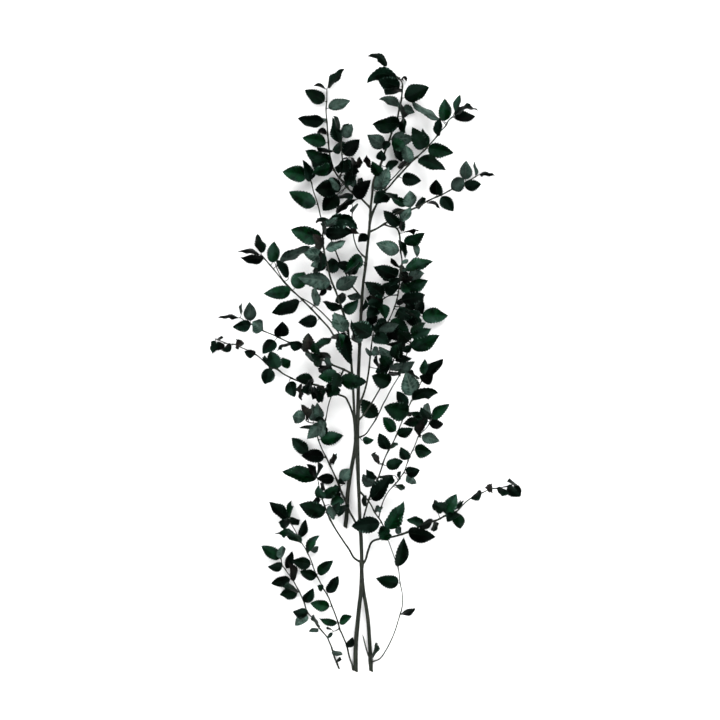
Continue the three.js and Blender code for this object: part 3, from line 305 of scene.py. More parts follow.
MIDDLE_STEM = Branch(
    name="middle_stem",
    radius=(2.2, 0.75),
    route=[
        (11.4, 0, 2.3), (10.5, 20, 3.4), (9.4, 39, 4.8), (7.5, 64, 6.6), (5, 82, 8), (2, 99, 9.6),
        (0, 120, 12.2), (-1, 150, 16), (-2, 176, 19), (-3.5, 210, 23), (-5, 239, 27), (-6.5, 270, 31),
        (-8, 289, 34), (-9.5, 320, 38), (-11, 351, 41), (-12.5, 374, 43), (-13.8, 391, 44),
        (-15.6, 410, 45), (-18.8, 432.5, 46), (-25, 452.5, 47), (-32.5, 474, 47), (-39, 490, 47),
        (-42.5, 504, 46), (-47.5, 526, 45), (-49, 545, 44), (-46, 557, 43), (-40, 565, 42),
        (-33, 571, 41),
    ],
    leaves=[
        green(13, 16, 17, 37.5, 6), dark(-26, 423, -13.5, 384, 15), dark(-27, 453, -50, 461, 8),
        dark(-26, 457, -25, 474, 11), green(-22, 447, -4, 464, 12), pale(-22, 424, -35, 449, 17),
        pale(-32, 477, -5, 493.5, 15), pale(-38, 486, -80, 492, 17), green(-51, 540, -89, 552, 18),
        pale(-47, 518, -73, 522, 14), brown(-50, 530, -61, 546, 12), dark(-33, 571, -3, 590, 7, 6),
        dark(-44, 557, -5, 552, 15, 10), dark(-47, 548, -15, 547, 14), pale(-45, 553, -30, 566, 9),
        dark(-49, 545, -46, 562, 6), pale(-46, 527, -20, 538, 10), green(-16, 400, -30, 422, 12),
    ],
    filling=[
        brown(-30, 565, -6, 556, 10, 4), pale(-46, 530, -70, 526, 10), dark(-50, 524, -50, 502, 8),
        dark(-24, 452, -46, 462, 8), dark(-46, 544, -58, 550, 6), dark(-40, 560, -56, 566, 6),
        dark(-10, 416, -14, 440, 5), dark(-44, 476, -54, 470, 6), dark(-46, 508, -62, 500, 10),
        dark(-47, 514, -56, 500, 9), pale(-50, 512, -64, 506, 9), dark(-40, 484, -58, 478, 9),
        dark(-20, 422, -38, 416, 9),
    ],
    twigs=[
        Branch(
            radius=(0.9, 0.7),
            end=5,
            rise=0,
            path=[(10.8, 12), (6, 26), (1, 45)],
            leaves=[],
        ),
        Branch(
            radius=(0.75, 0.5),
            end=13,
            rise=0,
            path=[
                (12, 13), (17.5, 13.5), (22.5, 16), (29, 25), (35, 36), (41, 50), (45.6, 65),
                (49.4, 77.5), (50.6, 86), (50, 99), (47.5, 111), (45.6, 127.5), (41, 141), (35.6, 156),
                (32.5, 165),
            ],
            leaves=[dark(50, 71, 67, 80, 7), green(46, 110, 16.5, 116, 14), green(47, 130, 54, 168, 13)],
        ),
        Branch(
            radius=(1.2, 0.6),
            end=10,
            rise=-9,
            path=[
                (-2.5, 176), (-10, 190), (-16, 201), (-21, 214), (-26, 225), (-30, 236), (-36, 249),
                (-44, 266), (-51, 280), (-55, 291), (-57.5, 301),
            ],
            leaves=[
                pale(-28, 239, -15, 254, 12), dark(-33, 241, -57, 241, 11), brown(-39, 258, -35, 273, 6),
                dark(-47, 268, -76, 269, 14), green(-53, 290, -23, 295, 14),
                green(-24, 218, -40, 208, 12),
            ],
            filling=[
                dark(-24, 234, -28, 242, 6), pale(-36, 260, -31, 273, 5), green(-25, 222, -42, 226, 9),
                dark(-20, 210, -30, 194, 10), green(-29, 234, -34, 222, 8),
            ],
            twigs=[
                Branch(
                    radius=(0.65, 0.5),
                    end=8,
                    rise=-1,
                    path=[(-46, 268), (-58, 269), (-67, 272.5)],
                    leaves=[dark(-68, 273, -89, 292, 13)],
                ),
            ],
        ),
        Branch(
            radius=(0.8, 0.5),
            end=42,
            rise=0,
            path=[
                (-8, 291), (4, 296.5), (11, 306), (17.5, 316), (22.5, 326), (26, 334), (30, 341),
                (34, 349), (39, 358), (45, 367.5), (49, 375), (52.5, 382.5), (55, 395), (59, 405),
                (61, 414),
            ],
            leaves=[
                green(1, 289, 15, 290, 8), green(17, 316, -1, 341, 16), green(62, 404, 97, 420.5, 16),
                pale(45, 374, 66, 387.5, 11), green(61, 418, 87, 428.5, 11), green(59, 412, 44, 426, 14),
            ],
            filling=[
                dark(54, 412, 44, 402, 10), dark(52, 400, 62, 408, 8), green(60, 424, 80, 436, 10),
                dark(52, 411, 30, 408, 7), dark(50, 374, 32, 370, 6), dark(56, 374, 72, 366, 6),
            ],
        ),
        Branch(
            radius=(1.2, 0.5),
            end=4,
            rise=5,
            path=[
                (-9, 311), (-12.5, 325), (-17.5, 337.5), (-21, 343), (-27.5, 345.6), (-40, 350),
                (-55, 357.5), (-77.5, 362.5), (-92.5, 369), (-101, 374), (-105, 377.5), (-115, 381),
                (-120, 385), (-126, 391), (-132.5, 396), (-145, 402.5), (-151, 405), (-159, 409),
                (-167.5, 409.4), (-175, 412.5), (-184, 416),
            ],
            leaves=[
                green(-61, 364, -83, 367, 12), brown(-76, 361, -76, 339, 6), dark(-68, 360, -69, 345, 9),
                dark(-63, 358, -62, 340, 7), dark(-91, 362, -84, 343, 13), brown(-57, 360, -49, 351, 9),
                dark(-57, 354, -54, 336, 9), green(-101, 383, -89, 388, 12),
                green(-104, 378, -114, 401, 15), dark(-110, 383, -125, 393, 8),
                dark(-115, 379, -121, 359, 14), dark(-132, 395, -147, 400, 9),
                brown(-159, 408.5, -147.5, 412, 10), dark(-161, 408, -176, 402, 8),
                dark(-172, 409, -185, 401, 9), dark(-184, 415, -188, 397, 7),
                dark(-184, 416, -173, 417.5, 4),
            ],
            filling=[dark(-62, 362, -76, 350, 9), dark(-52, 358, -46, 346, 7), dark(-56, 354, -50, 336, 8)],
        ),
        Branch(
            radius=(1.2, 0.5),
            end=18,
            rise=3,
            path=[
                (-12.5, 372.5), (-17.5, 375), (-26, 379), (-35, 382.5), (-44, 387.5), (-52.5, 391),
                (-61, 396), (-71, 401), (-82.5, 409), (-90, 411), (-100, 415.6), (-109, 420),
                (-119, 424), (-127.5, 427.5), (-137.5, 434), (-145, 437.5), (-152.5, 442.5),
            ],
            leaves=[
                dark(-153, 443.5, -181, 442.5, 2, -3.5), pale(-151, 446, -150, 461, 2),
                pale(-139, 438, -140, 462.5, 13), dark(-137, 433, -162, 430, 12),
                pale(-122, 425, -137, 437, 15), dark(-101, 417.5, -99, 437.5, 15),
                dark(-89, 408, -106, 400, 4, -4), dark(-73, 405, -90, 413, 11),
                brown(-67, 401, -66, 423, 14), green(-57, 397, -60, 412, 9),
                green(-60, 402, -37, 418, 9), green(-60, 394, -52, 381, 11), dark(-54, 399, -40, 391, 9),
                pale(-50, 388, -38, 381, 8), dark(-109, 413.5, -124, 397, 13),
            ],
            filling=[
                dark(-50, 390, -64, 398, 8), pale(-60, 386, -67, 402, 6), green(-38, 385, -54, 374, 11),
            ],
            twigs=[
                Branch(
                    radius=(0.8, 0.5),
                    end=24,
                    rise=2,
                    path=[
                        (-22, 377), (-28, 366), (-31, 358), (-35, 350), (-38, 345), (-42, 333),
                        (-45, 317), (-48, 305), (-50, 297),
                    ],
                    leaves=[
                        green(-31, 371, -55, 368, 14), green(-31, 359, -43, 343, 15),
                        green(-29, 373, -37, 350, 11), green(-28, 364, 6, 362, 16),
                        pale(-47, 316, -70, 292, 13), pale(-45, 314, -52, 293, 10),
                        dark(-46, 309, -44, 296, 5), dark(-51, 304, -79, 305, 5),
                        pale(-52, 316, -56, 337, 10),
                    ],
                    filling=[green(-28, 368, -44, 354, 11), dark(-46, 316, -60, 314, 6)],
                    twigs=[
                        Branch(
                            radius=(0.6, 0.5),
                            end=22,
                            rise=0,
                            path=[(-46, 312), (-56, 311), (-64, 311), (-70, 313.5)],
                            leaves=[
                                pale(-71, 316, -87, 320, 15), brown(-67, 316, -76, 334, 8),
                                pale(-60, 313, -62, 335, 10),
                            ],
                        ),
                    ],
                ),
            ],
        ),
        Branch(
            radius=(1.2, 0.6),
            end=20,
            rise=4,
            path=[
                (-15, 389), (-22.5, 404), (-30, 414), (-36, 421), (-41, 429), (-51, 440), (-62.5, 452.5),
                (-71, 461), (-77.5, 467.5), (-86, 475), (-94, 482.5), (-101, 491), (-109, 501),
                (-117.5, 511), (-126, 521),
            ],
            leaves=[
                dark(-127, 520, -156, 523, 5, -5), dark(-122, 514.5, -153, 516, 10),
                green(-126, 523, -131, 547, 10), green(-112, 511, -109.5, 537.5, 13),
                pale(-101, 511, -64, 531, 10), dark(-92, 493, -107, 515, 10),
                green(-88, 475, -123, 471, 14), green(-78, 462, -113, 448, 14),
                dark(-56, 439, -80, 436, 13), pale(-60, 458, -58, 480, 10),
                green(-84, 479, -72, 500, 16),
            ],
            twigs=[
                Branch(
                    radius=(0.8, 0.7),
                    end=36,
                    rise=1,
                    path=[
                        (-22.5, 404), (-27.5, 420), (-35, 432.5), (-42.5, 441), (-52.5, 451),
                        (-62.5, 459), (-76, 467),
                    ],
                    leaves=[],
                    filling=[pale(-28, 430, -38, 446, 8)],
                ),
                Branch(
                    radius=(0.8, 0.6),
                    end=22,
                    rise=1,
                    path=[(-86, 475), (-90, 480), (-99, 490), (-105, 501), (-109, 511)],
                    leaves=[],
                ),
            ],
        ),
    ],
)

LOW_STEM = Branch(
    name="low_stem",
    radius=(2.6, 0.75),
    route=[
        (-8, 0, 2.7), (-8, 20, 4.6), (-7.5, 38, 6.8), (-5.5, 61, 9), (-3.5, 82, 11.5), (-1.5, 100, 13.6),
        (-0.6, 136, 18.9), (-1.2, 164, 25), (-3, 195, 33), (-4, 226, 40), (-4.4, 257, 47), (-5, 289, 53),
        (-4.4, 314, 58), (-2.5, 336, 61), (1.2, 345, 63), (5, 357.5, 65), (8, 374, 67), (10, 392.5, 68),
        (12, 410, 69), (14, 422.5, 69),
    ],
    leaves=[
        dark(12, 419, -14, 435, 18), pale(10, 392, 5, 405, 5), dark(14, 422, 34, 410, 14),
        dark(15, 424, 38, 435, 14), pale(22, 424, 46, 434, 10),
    ],
    filling=[dark(20, 380, 18, 396, 5), dark(14, 418, 32, 414, 10), pale(12, 404, 22, 396, 10)],
    twigs=[
        Branch(
            radius=(1.2, 0.6),
            end=37,
            rise=2,
            path=[
                (-3, 136), (-10, 142.5), (-16, 153), (-21, 160), (-26, 167.5), (-32.5, 177.5),
                (-39, 189), (-44, 200), (-47.5, 210), (-51, 220), (-55, 239),
            ],
            leaves=[
                green(-46, 199, -79, 209, 17), green(-51, 214, -57, 232, 10),
                green(-49, 217, -29, 232, 11), pale(-40, 208, -35, 190, 8), dark(-38, 192, -27, 212, 9),
                green(-57, 243, -100, 250.5, 16), dark(-57, 246, -69, 260, 8),
                dark(-56, 244, -54, 262, 5),
            ],
            filling=[dark(-50, 216, -62, 212, 7), dark(-46, 228, -52, 236, 6)],
        ),
        Branch(
            radius=(1.3, 0.5),
            end=4,
            rise=4,
            path=[
                (-0.6, 134), (4, 139), (7.5, 151), (12.5, 162.5), (22.5, 166), (30, 167), (47.5, 171),
                (64, 177.5), (77.5, 184), (85, 187), (94, 189.5), (104, 195), (119, 201), (126, 208.5),
                (135, 216), (145, 221), (152.5, 224.5), (160, 228), (167.5, 229), (179, 231),
                (190, 234.5),
            ],
            leaves=[
                pale(50, 174, 43, 181, 8), green(79, 185, 55.5, 191, 10), dark(56, 173, 92, 168, 16),
                dark(93, 189, 89, 175, 5), green(103, 196, 117, 223, 14), green(104, 203, 89, 210, 13),
                dark(110, 205, 128, 213, 6), green(119, 198, 123, 178, 13),
                dark(118, 199, 106, 187.5, 11), dark(152, 222.5, 136, 215, 9),
                brown(165, 228, 152.5, 230, 9), green(167, 228, 184, 222, 8),
                dark(180, 231, 197, 218, 10), dark(190, 233, 199, 219, 8), dark(192, 235, 181, 238, 5),
            ],
            filling=[dark(94, 202, 90, 215, 7), dark(90, 188, 70, 181, 9), dark(92, 188, 90, 175, 7)],
        ),
        Branch(
            radius=(0.9, 0.6),
            end=36,
            rise=0,
            path=[(-4, 226), (6, 216), (11, 209), (16, 199), (22.5, 190), (27.5, 181), (34, 172.5)],
            leaves=[
                green(33, 178, 53, 213.5, 16), green(33, 177, 25, 164, 15), pale(17, 201, 23, 206, 8),
                dark(1, 222, 7, 208, 6), dark(22, 186, -13, 182, 17),
            ],
            filling=[dark(2, 222, 8, 208, 4), green(32, 180, 21, 172, 11)],
            twigs=[
                Branch(
                    radius=(0.9, 0.5),
                    end=52,
                    rise=2,
                    path=[
                        (20, 192), (24, 206), (27.5, 216), (32.5, 225), (39, 232.5), (45, 239),
                        (49, 245), (52.5, 250), (55, 257.5), (57.5, 264), (61, 273), (64, 279),
                        (67.5, 287.5), (71, 296), (79, 303.5), (83, 309), (85, 315),
                    ],
                    leaves=[
                        dark(45, 240, 48, 251, 5), green(43, 234, 52, 229, 5),
                        dark(55, 249, 72, 252.5, 12), pale(56, 247, 68, 235, 10),
                        dark(56, 264, 47, 281, 11), green(65, 277, 87, 274.5, 14),
                        pale(74, 295, 97, 288, 12), dark(84, 309, 102, 310, 11),
                        brown(70, 292, 78, 318, 8), green(87, 317, 109, 335, 11),
                        pale(85, 315, 83, 336, 9), dark(84, 315, 73, 331, 10),
                        green(82, 316, 51, 310, 13),
                    ],
                    filling=[
                        green(38, 246, 20, 243, 6), pale(26, 208, 18, 198, 6), pale(44, 230, 54, 232, 5),
                        green(80, 314, 60, 325, 9), dark(42, 237, 30, 242, 7),
                    ],
                ),
            ],
        ),
        Branch(
            radius=(1.0, 0.5),
            end=66,
            rise=2,
            path=[
                (-2.5, 179), (2.5, 195), (6, 207.5), (11, 222.5), (16, 234), (20, 242.5), (24, 254),
                (27.5, 265), (32.5, 276), (39, 287.5), (44, 299), (47.5, 307.5), (51, 316), (59, 333.5),
                (62.5, 341), (67.5, 350), (72.5, 360), (76, 370),
            ],
            leaves=[
                pale(14, 231, 1, 247, 12), dark(12, 216, 36, 244, 16), dark(16, 241, 5, 253.5, 8),
                dark(19, 261, 11, 273, 4), dark(31, 277, 20, 298, 12), green(30, 258, 51, 263, 12),
                green(33, 278, 43, 287, 6), green(43, 295, 64, 304, 11), green(42, 301, 26, 318, 12),
                green(58, 324, 27, 331, 20), dark(56, 332, 42, 350, 11), green(63, 338, 95, 347, 13, 6),
                pale(63, 344, 53, 375, 19), dark(74, 361, 89, 371, 13), green(77, 371, 78, 391, 8),
                dark(79, 369, 101, 391, 12),
            ],
            filling=[dark(52, 320, 62, 324, 6), pale(18, 240, 4, 246, 8), brown(20, 262, 12, 273, 4)],
        ),
        Branch(
            radius=(1.0, 0.6),
            end=70,
            rise=1,
            path=[
                (-4, 315), (1, 320), (6, 327), (12, 336), (19, 348), (25, 358), (31, 368), (36, 380),
                (40, 392),
            ],
            leaves=[
                green(35, 361, 12, 370, 17), green(40, 389, 50, 411, 14), pale(37, 390, 20, 406, 11),
                green(37, 380, 24, 396, 12), pale(38, 376, 50, 386, 9), dark(37, 384, 16, 374, 12),
            ],
            filling=[
                dark(34, 384, 22, 392, 9), green(40, 392, 44, 408, 11), dark(40, 388, 62, 391, 8),
                green(38, 386, 46, 376, 8),
            ],
        ),
    ],
)

INNER_LEFT_TWIG = Branch(
    name="inner_left_twig",
    radius=(0.95, 0.5),
    route=[
        (-11.5, 1, 1.8), (-12.3, 8, 2.4), (-14.5, 14, 3.2), (-16.5, 21, 4.6), (-18, 28, 6),
        (-20, 35, 7.5), (-23, 42, 9), (-25.5, 48, 10), (-28, 53, 11), (-29.5, 60, 11.5), (-33, 70, 12),
        (-36, 78, 12.5), (-38.5, 84, 12.5), (-41, 91, 12.5), (-44, 97, 12.5), (-48, 103, 12.5),
        (-51, 109, 12.5), (-54.5, 116, 12.5), (-57, 121, 12.5), (-60, 128, 12.5), (-62, 134, 12.5),
        (-64.5, 141, 12.5), (-68, 148, 12.5), (-71, 154, 12.5), (-75, 160, 12.5), (-79, 167, 12),
        (-83, 175, 11.5), (-87, 182, 11), (-91, 189, 10), (-94, 195, 10),
    ],
    leaves=[
        green(-18, 28, -11, 43, 8), green(-30, 59, -54, 66.3, 8), green(-29, 61, -12.5, 70, 9),
        green(-41, 81, -65, 86, 12), dark(-43, 97, -29, 120, 11), green(-47, 102, -56, 108, 7),
        green(-56, 117, -78, 125, 11), green(-55, 122, -35.5, 139, 11), green(-63, 133, -88, 138, 13),
        green(-67, 148, -52, 170, 9, 5), dark(-76, 166, -69, 190, 9), green(-76, 160, -110, 171, 10, -8),
        dark(-91, 189, -116.5, 212.5, 12), dark(-88, 185, -104, 187, 12), green(-90, 193, -89, 214, 8),
        dark(-88, 193, -79, 183, 9),
    ],
    filling=[pale(-66, 152, -54, 156, 8)],
    twigs=[
        Branch(
            radius=(0.55, 0.5),
            end=15,
            rise=0,
            path=[(-28, 53), (-32, 51.5), (-36, 50.5)],
            leaves=[dark(-36, 51, -44, 57, 3), pale(-36, 50, -44, 41.3, 4)],
        ),
    ],
)

OUTER_LEFT_TWIG = Branch(
    name="outer_left_twig",
    radius=(0.95, 0.5),
    route=[
        (-28.5, 3, 1), (-30.5, 8, 1.8), (-33, 14, 2.8), (-36, 22, 4), (-38, 30, 5.2), (-41, 37, 6),
        (-43, 42, 6.8), (-47, 47, 7.2), (-50, 50.5, 7.2), (-53, 54, 7), (-56.5, 58, 6.6), (-60, 64, 6.2),
        (-64, 69, 5.8), (-67, 72, 5.5), (-70, 78, 5), (-72, 85, 5), (-75, 92, 5), (-78.5, 100, 5),
        (-82, 106, 5), (-88, 117, 5), (-93, 123, 5), (-97, 129, 5), (-100, 133, 5), (-101, 140, 5),
        (-103, 144, 5),
    ],
    leaves=[
        green(-31, 10, -27.5, 18.5, 5), pale(-38, 27, -25, 20.5, 6), pale(-54, 53, -67, 50, 5),
        dark(-54, 56, -60.5, 72, 5), dark(-68, 72, -87, 75, 11), pale(-69, 71, -84, 57, 11),
        dark(-71, 85, -60, 104, 11), green(-79, 100, -103.5, 95.5, 13), green(-80, 102, -98.5, 106, 8),
        green(-90, 115, -114, 110, 11), brown(-84, 111, -92, 139, 8), dark(-99, 130.5, -118.5, 131, 10),
        green(-102, 140, -126.5, 157, 12), pale(-100, 140, -98.5, 158, 9), dark(-94, 128, -86, 150, 9),
    ],
)

BUNCH = [HIGH_STEM, MIDDLE_STEM, LOW_STEM, INNER_LEFT_TWIG, OUTER_LEFT_TWIG]


# Small sums

DRAW_STEPS = (12.9898, 78.233, 43758.5453)
CURVE_SAMPLES = 201


class Choice(IntEnum):
    """What a leaf's draws decide."""

    LENGTH = 1
    TILT = 2
    ROLL = 3
    ARCH = 4
    RISE = 5
    FALL = 6
    TWIST = 7
    WAVE_COUNT = 8
    LEFT_WAVE = 9
    RIGHT_WAVE = 10
    WAVE_HEIGHT = 11
    DROOP = 12
    TONE = 13


def draw(number: np.ndarray | float, choice: Choice) -> np.ndarray:
    """A repeatable draw from 0 to 1: the fraction of a large sine of the leaf's number and the choice.

    Args:
        number: The leaf's number, or an array of them.
        choice: Which of the leaf's choices is drawn.

    Returns:
        One draw for each number.
    """
    wave = np.sin(np.asarray(number) * DRAW_STEPS[0] + choice * DRAW_STEPS[1]) * DRAW_STEPS[2]
    return wave - np.floor(wave)


def either_way(number: float, choice: Choice) -> float:
    """-1 or 1, by a draw."""
    return -1.0 if draw(number, choice) < 0.5 else 1.0


def spread(numbers: np.ndarray, choice: Choice, least: float, more: float) -> np.ndarray:
    """A draw for each leaf between the least value and that much more."""
    return least + more * draw(numbers, choice)


def unit(vectors: np.ndarray) -> np.ndarray:
    """Vectors divided by their own lengths."""
    return vectors / np.linalg.norm(vectors, axis=-1, keepdims=True)


def settle(height: np.ndarray, margin: float) -> np.ndarray:
    """Heights below the margin level out above the table: margin times e to (height / margin - 1)."""
    return np.where(height > margin, height, margin * np.exp(np.minimum(height / margin, 1.0) - 1.0))


def smooth_places(points: np.ndarray, shares: np.ndarray) -> np.ndarray:
    """Places on the centripetal curve through the points.

    Between two points the place is a cubic whose end slopes are Catmull and Rom's, with knots spaced
    by the square root of each distance. Past either end the first or last step is repeated.

    Args:
        points: The points that the curve passes through, one a row.
        shares: Shares of the way from 0 to 1, with an equal part for each pair of points.

    Returns:
        One place for each share.
    """
    ghosts = np.vstack([2 * points[0] - points[1], points, 2 * points[-1] - points[-2]])
    way = shares * (len(points) - 1)
    piece = np.minimum(way.astype(int), len(points) - 2)
    t = (way - piece)[:, None]
    a, b, c, d = (ghosts[piece + i] for i in range(4))
    ab, bc, cd = (np.sum((q - p) ** 2, axis=1)[:, None] ** 0.25 for p, q in ((a, b), (b, c), (c, d)))
    leave = ((b - a) / ab - (c - a) / (ab + bc) + (c - b) / bc) * bc
    arrive = ((c - b) / bc - (d - b) / (bc + cd) + (d - c) / cd) * bc
    bend = 3 * (c - b) - 2 * leave - arrive
    return b + leave * t + bend * t**2 + (2 * (b - c) + leave + arrive) * t**3


def even_places(points: np.ndarray, step: float) -> np.ndarray:
    """Places along the smooth curve through the points, evenly spaced by about one step."""
    shares = np.linspace(0.0, 1.0, CURVE_SAMPLES)
    samples = smooth_places(points, shares)
    lengths = np.concatenate([[0.0], np.cumsum(np.linalg.norm(np.diff(samples, axis=0), axis=1))])
    count = max(2, round(lengths[-1] / step))
    return smooth_places(points, np.interp(np.linspace(0, lengths[-1], count + 1), lengths, shares))


# Skins and pieces


def placed(name: str, data: bpy.types.ID) -> bpy.types.Object:
    """A new object in the scene, at the origin."""
    made = bpy.data.objects.new(name, data)
    bpy.context.scene.collection.objects.link(made)
    return made


@dataclass
class Skin:
    """A closed skin: its points in layout millimetres, faces, pattern places and each face's dress."""

    points: np.ndarray
    pattern: np.ndarray
    quads: np.ndarray
    triangles: np.ndarray
    quad_dress: np.ndarray
    triangle_dress: np.ndarray

    @staticmethod
    def joined(skins: list["Skin"]) -> "Skin":
        """Several skins as one, each with its faces moved on to its own points."""
        starts = np.cumsum([0] + [len(skin.points) for skin in skins[:-1]])
        return Skin(
            np.vstack([skin.points for skin in skins]),
            np.vstack([skin.pattern for skin in skins]),
            np.vstack([skin.quads + start for skin, start in zip(skins, starts)]),
            np.vstack([skin.triangles + start for skin, start in zip(skins, starts)]),
            np.concatenate([skin.quad_dress for skin in skins]),
            np.concatenate([skin.triangle_dress for skin in skins]),
        )

    @staticmethod
    def repeated(
        points: np.ndarray,
        pattern: np.ndarray,
        quads: np.ndarray,
        triangles: np.ndarray,
        quad_dress: np.ndarray,
        triangle_dress: np.ndarray,
    ) -> "Skin":
        """Many skins with the same faces as one.

        Args:
            points: Points of each skin, as (skin, point, xyz).
            pattern: Pattern places of each skin, as (skin, point, xyz).
            quads: Four-sided faces of one skin.
            triangles: Three-sided faces of one skin.
            quad_dress: Dress of each four-sided face, as (skin, face).
            triangle_dress: Dress of each three-sided face, as (skin, face).

        Returns:
            The skins together.
        """
        starts = (np.arange(points.shape[0]) * points.shape[1])[:, None, None]
        return Skin(
            points.reshape(-1, 3),
            pattern.reshape(-1, 3),
            (quads[None] + starts).reshape(-1, 4),
            (triangles[None] + starts).reshape(-1, 3),
            quad_dress.reshape(-1),
            triangle_dress.reshape(-1),
        )

    def piece(self, name: str, dress: list[bpy.types.Material], crease: float) -> bpy.types.Object:
        """A shown object with this skin.

        Args:
            name: The piece's name.
            dress: Its materials, in the order of the faces' dress numbers.
            crease: Edges sharper than this angle, in degrees, stay sharp.

        Returns:
            The object, at the origin.
        """
        mesh = bpy.data.meshes.new(name)
        places = (self.points - LAYOUT_ORIGIN) * METRES
        places[:, 2] = np.maximum(places[:, 2], 0.0)
        mesh.from_pydata(places.tolist(), [], self.quads.tolist() + self.triangles.tolist())
        for material in dress:
            mesh.materials.append(material)
        worn = np.concatenate([self.quad_dress, self.triangle_dress]).astype(np.int32)
        mesh.polygons.foreach_set("material_index", worn)
        mesh.polygons.foreach_set("use_smooth", np.ones(len(worn), dtype=bool))
        store = mesh.attributes.new("pattern", "FLOAT_VECTOR", "POINT")
        store.data.foreach_set("vector", self.pattern.astype(np.float32).ravel())
        mesh.update()
        mesh.set_sharp_from_angle(angle=math.radians(crease))
        return placed(name, mesh)


# Wood


@dataclass
class Wood:
    """The wood of a stem or twig: a plain centre line that leaves sit on, and a fine one to show."""

    route: np.ndarray
    radius: tuple[float, float]
    step: float
    shown_route: np.ndarray
    shown_step: float = 3.0
    taper_power: float = 1.2
    end_margin: float = 0.06

    @cached_property
    def centres(self) -> np.ndarray:
        """The plain centre line, in long straight steps."""
        return even_places(self.route, self.step)

    @cached_property
    def shown(self) -> np.ndarray:
        """The fine centre line."""
        return even_places(self.shown_route, self.shown_step)

    def radius_at(self, share: np.ndarray | float) -> np.ndarray:
        """The radius at a share of the length: the first to the last radius by the share's power."""
        return self.radius[0] + (self.radius[1] - self.radius[0]) * np.asarray(share) ** self.taper_power

    def nearest(self, x: float, y: float) -> tuple[np.ndarray, float, float]:
        """The place on the plain centre line nearest to a point seen from above.

        Args:
            x: The point's place to the right.
            y: The point's place up the spray.

        Returns:
            The place, its distance seen from above, and its share of the way.
        """
        start, step = self.centres[:-1], np.diff(self.centres, axis=0)
        across = np.sum(step[:, :2] ** 2, axis=1)
        share = np.sum((np.array([x, y]) - start[:, :2]) * step[:, :2], axis=1) / across
        last = np.ones(len(step))
        last[-1] = 1.0 - self.end_margin
        share = np.clip(share, 0.0, last)
        places = start + step * share[:, None]
        distances = np.hypot(places[:, 0] - x, places[:, 1] - y)
        best = int(np.argmin(distances))
        return places[best], float(distances[best]), (best + share[best]) / len(step)

    def shown_near(self, places: np.ndarray) -> np.ndarray:
        """Which fine centre is nearest to each place."""
        apart = np.linalg.norm(places[:, None] - self.shown[None], axis=2)
        return np.argmin(apart, axis=1)

    def room(self, parts: int) -> np.ndarray:
        """Places that leaves keep clear of: so many to each straight step."""
        part = (np.arange(parts) / parts)[None, :, None]
        steps = np.diff(self.centres, axis=0)[:, None]
        return (self.centres[:-1, None] + steps * part).reshape(-1, 3)


@dataclass
class Shoot:
    """A branch that has grown: its table, its wood and the places where something grows out of it."""

    branch: Branch
    wood: Wood
    nodes: list[np.ndarray] = field(default_factory=list)


@dataclass
class Tube:
    """Round closed skins carried along centre lines, for wood, stalks and midribs."""

    sides: int = 8
    ridges: int = 0
    ridge_height: float = 0.0
    ridge_twist: float = 0.02
    foot_slant: float = 0.0
    pattern_gap: float = 37.0
    dress: int = 0
    cut_dress: int = 0

    def skin(self, centres: np.ndarray, radii: np.ndarray, tip: float = 0.0) -> Skin:
        """Skins round several centre lines at once.

        A point is its centre plus the radius times the cosine of its angle towards the level side and
        its sine upwards. The foot is a flat cut, and the tip a point that stands out by a length.

        Args:
            centres: Centres, as (tube, ring, xyz).
            radii: Radii, as (tube, ring).
            tip: How far the tip's point stands out.

        Returns:
            The closed skins as one.
        """
        count, rings, sides = centres.shape[0], centres.shape[1], self.sides
        tangent = unit(np.gradient(centres, axis=1))
        level = unit(np.cross([0.0, 0.0, 1.0], tangent))
        upright = np.cross(tangent, level)
        along = np.linalg.norm(np.diff(centres, axis=1), axis=2)
        along = np.concatenate([np.zeros((count, 1)), np.cumsum(along, axis=1)], axis=1)
        angle = np.linspace(0, 2 * np.pi, sides, endpoint=False)[None, None]
        ridge = 1.0 + self.ridge_height * np.cos(self.ridges * angle + self.ridge_twist * along[:, :, None])
        thick = radii[:, :, None] * ridge
        level_part = (thick * np.cos(angle))[..., None]
        upright_part = (thick * np.sin(angle))[..., None]
        points = centres[:, :, None] + level_part * level[:, :, None] + upright_part * upright[:, :, None]
        points[:, 0] += self.foot_slant * level_part[:, 0] * tangent[:, 0, None]
        foot = centres[:, 0, None]
        point = centres[:, -1, None] + tip * tangent[:, -1, None]
        points = np.concatenate([points.reshape(count, -1, 3), foot, point], axis=1)
        offset = self.pattern_gap * np.arange(count)[:, None]
        length = (along + offset)[:, :, None] + 0 * angle
        pattern = np.stack([thick * np.cos(angle), thick * np.sin(angle), length], axis=-1)
        ends = np.zeros((count, 2, 3))
        ends[:, 0, 2], ends[:, 1, 2] = offset[:, 0], along[:, -1] + offset[:, 0]
        pattern = np.concatenate([pattern.reshape(count, -1, 3), ends], axis=1)
        grid = np.arange(rings * sides).reshape(rings, sides)
        beside = np.roll(grid, -1, axis=1)
        quads = np.stack([grid[:-1], beside[:-1], beside[1:], grid[1:]], axis=-1).reshape(-1, 4)
        foot_row, tip_row = np.full(sides, rings * sides), np.full(sides, rings * sides + 1)
        foot_faces = np.stack([foot_row, beside[0], grid[0]], axis=-1)
        tip_faces = np.stack([grid[-1], beside[-1], tip_row], axis=-1)
        triangles = np.vstack([foot_faces, tip_faces])
        quad_dress = np.full((count, len(quads)), self.dress)
        triangle_dress = np.full((count, 2 * sides), self.dress)
        triangle_dress[:, :sides] = self.cut_dress
        return Skin.repeated(points, pattern, quads, triangles, quad_dress, triangle_dress)


# Leaves


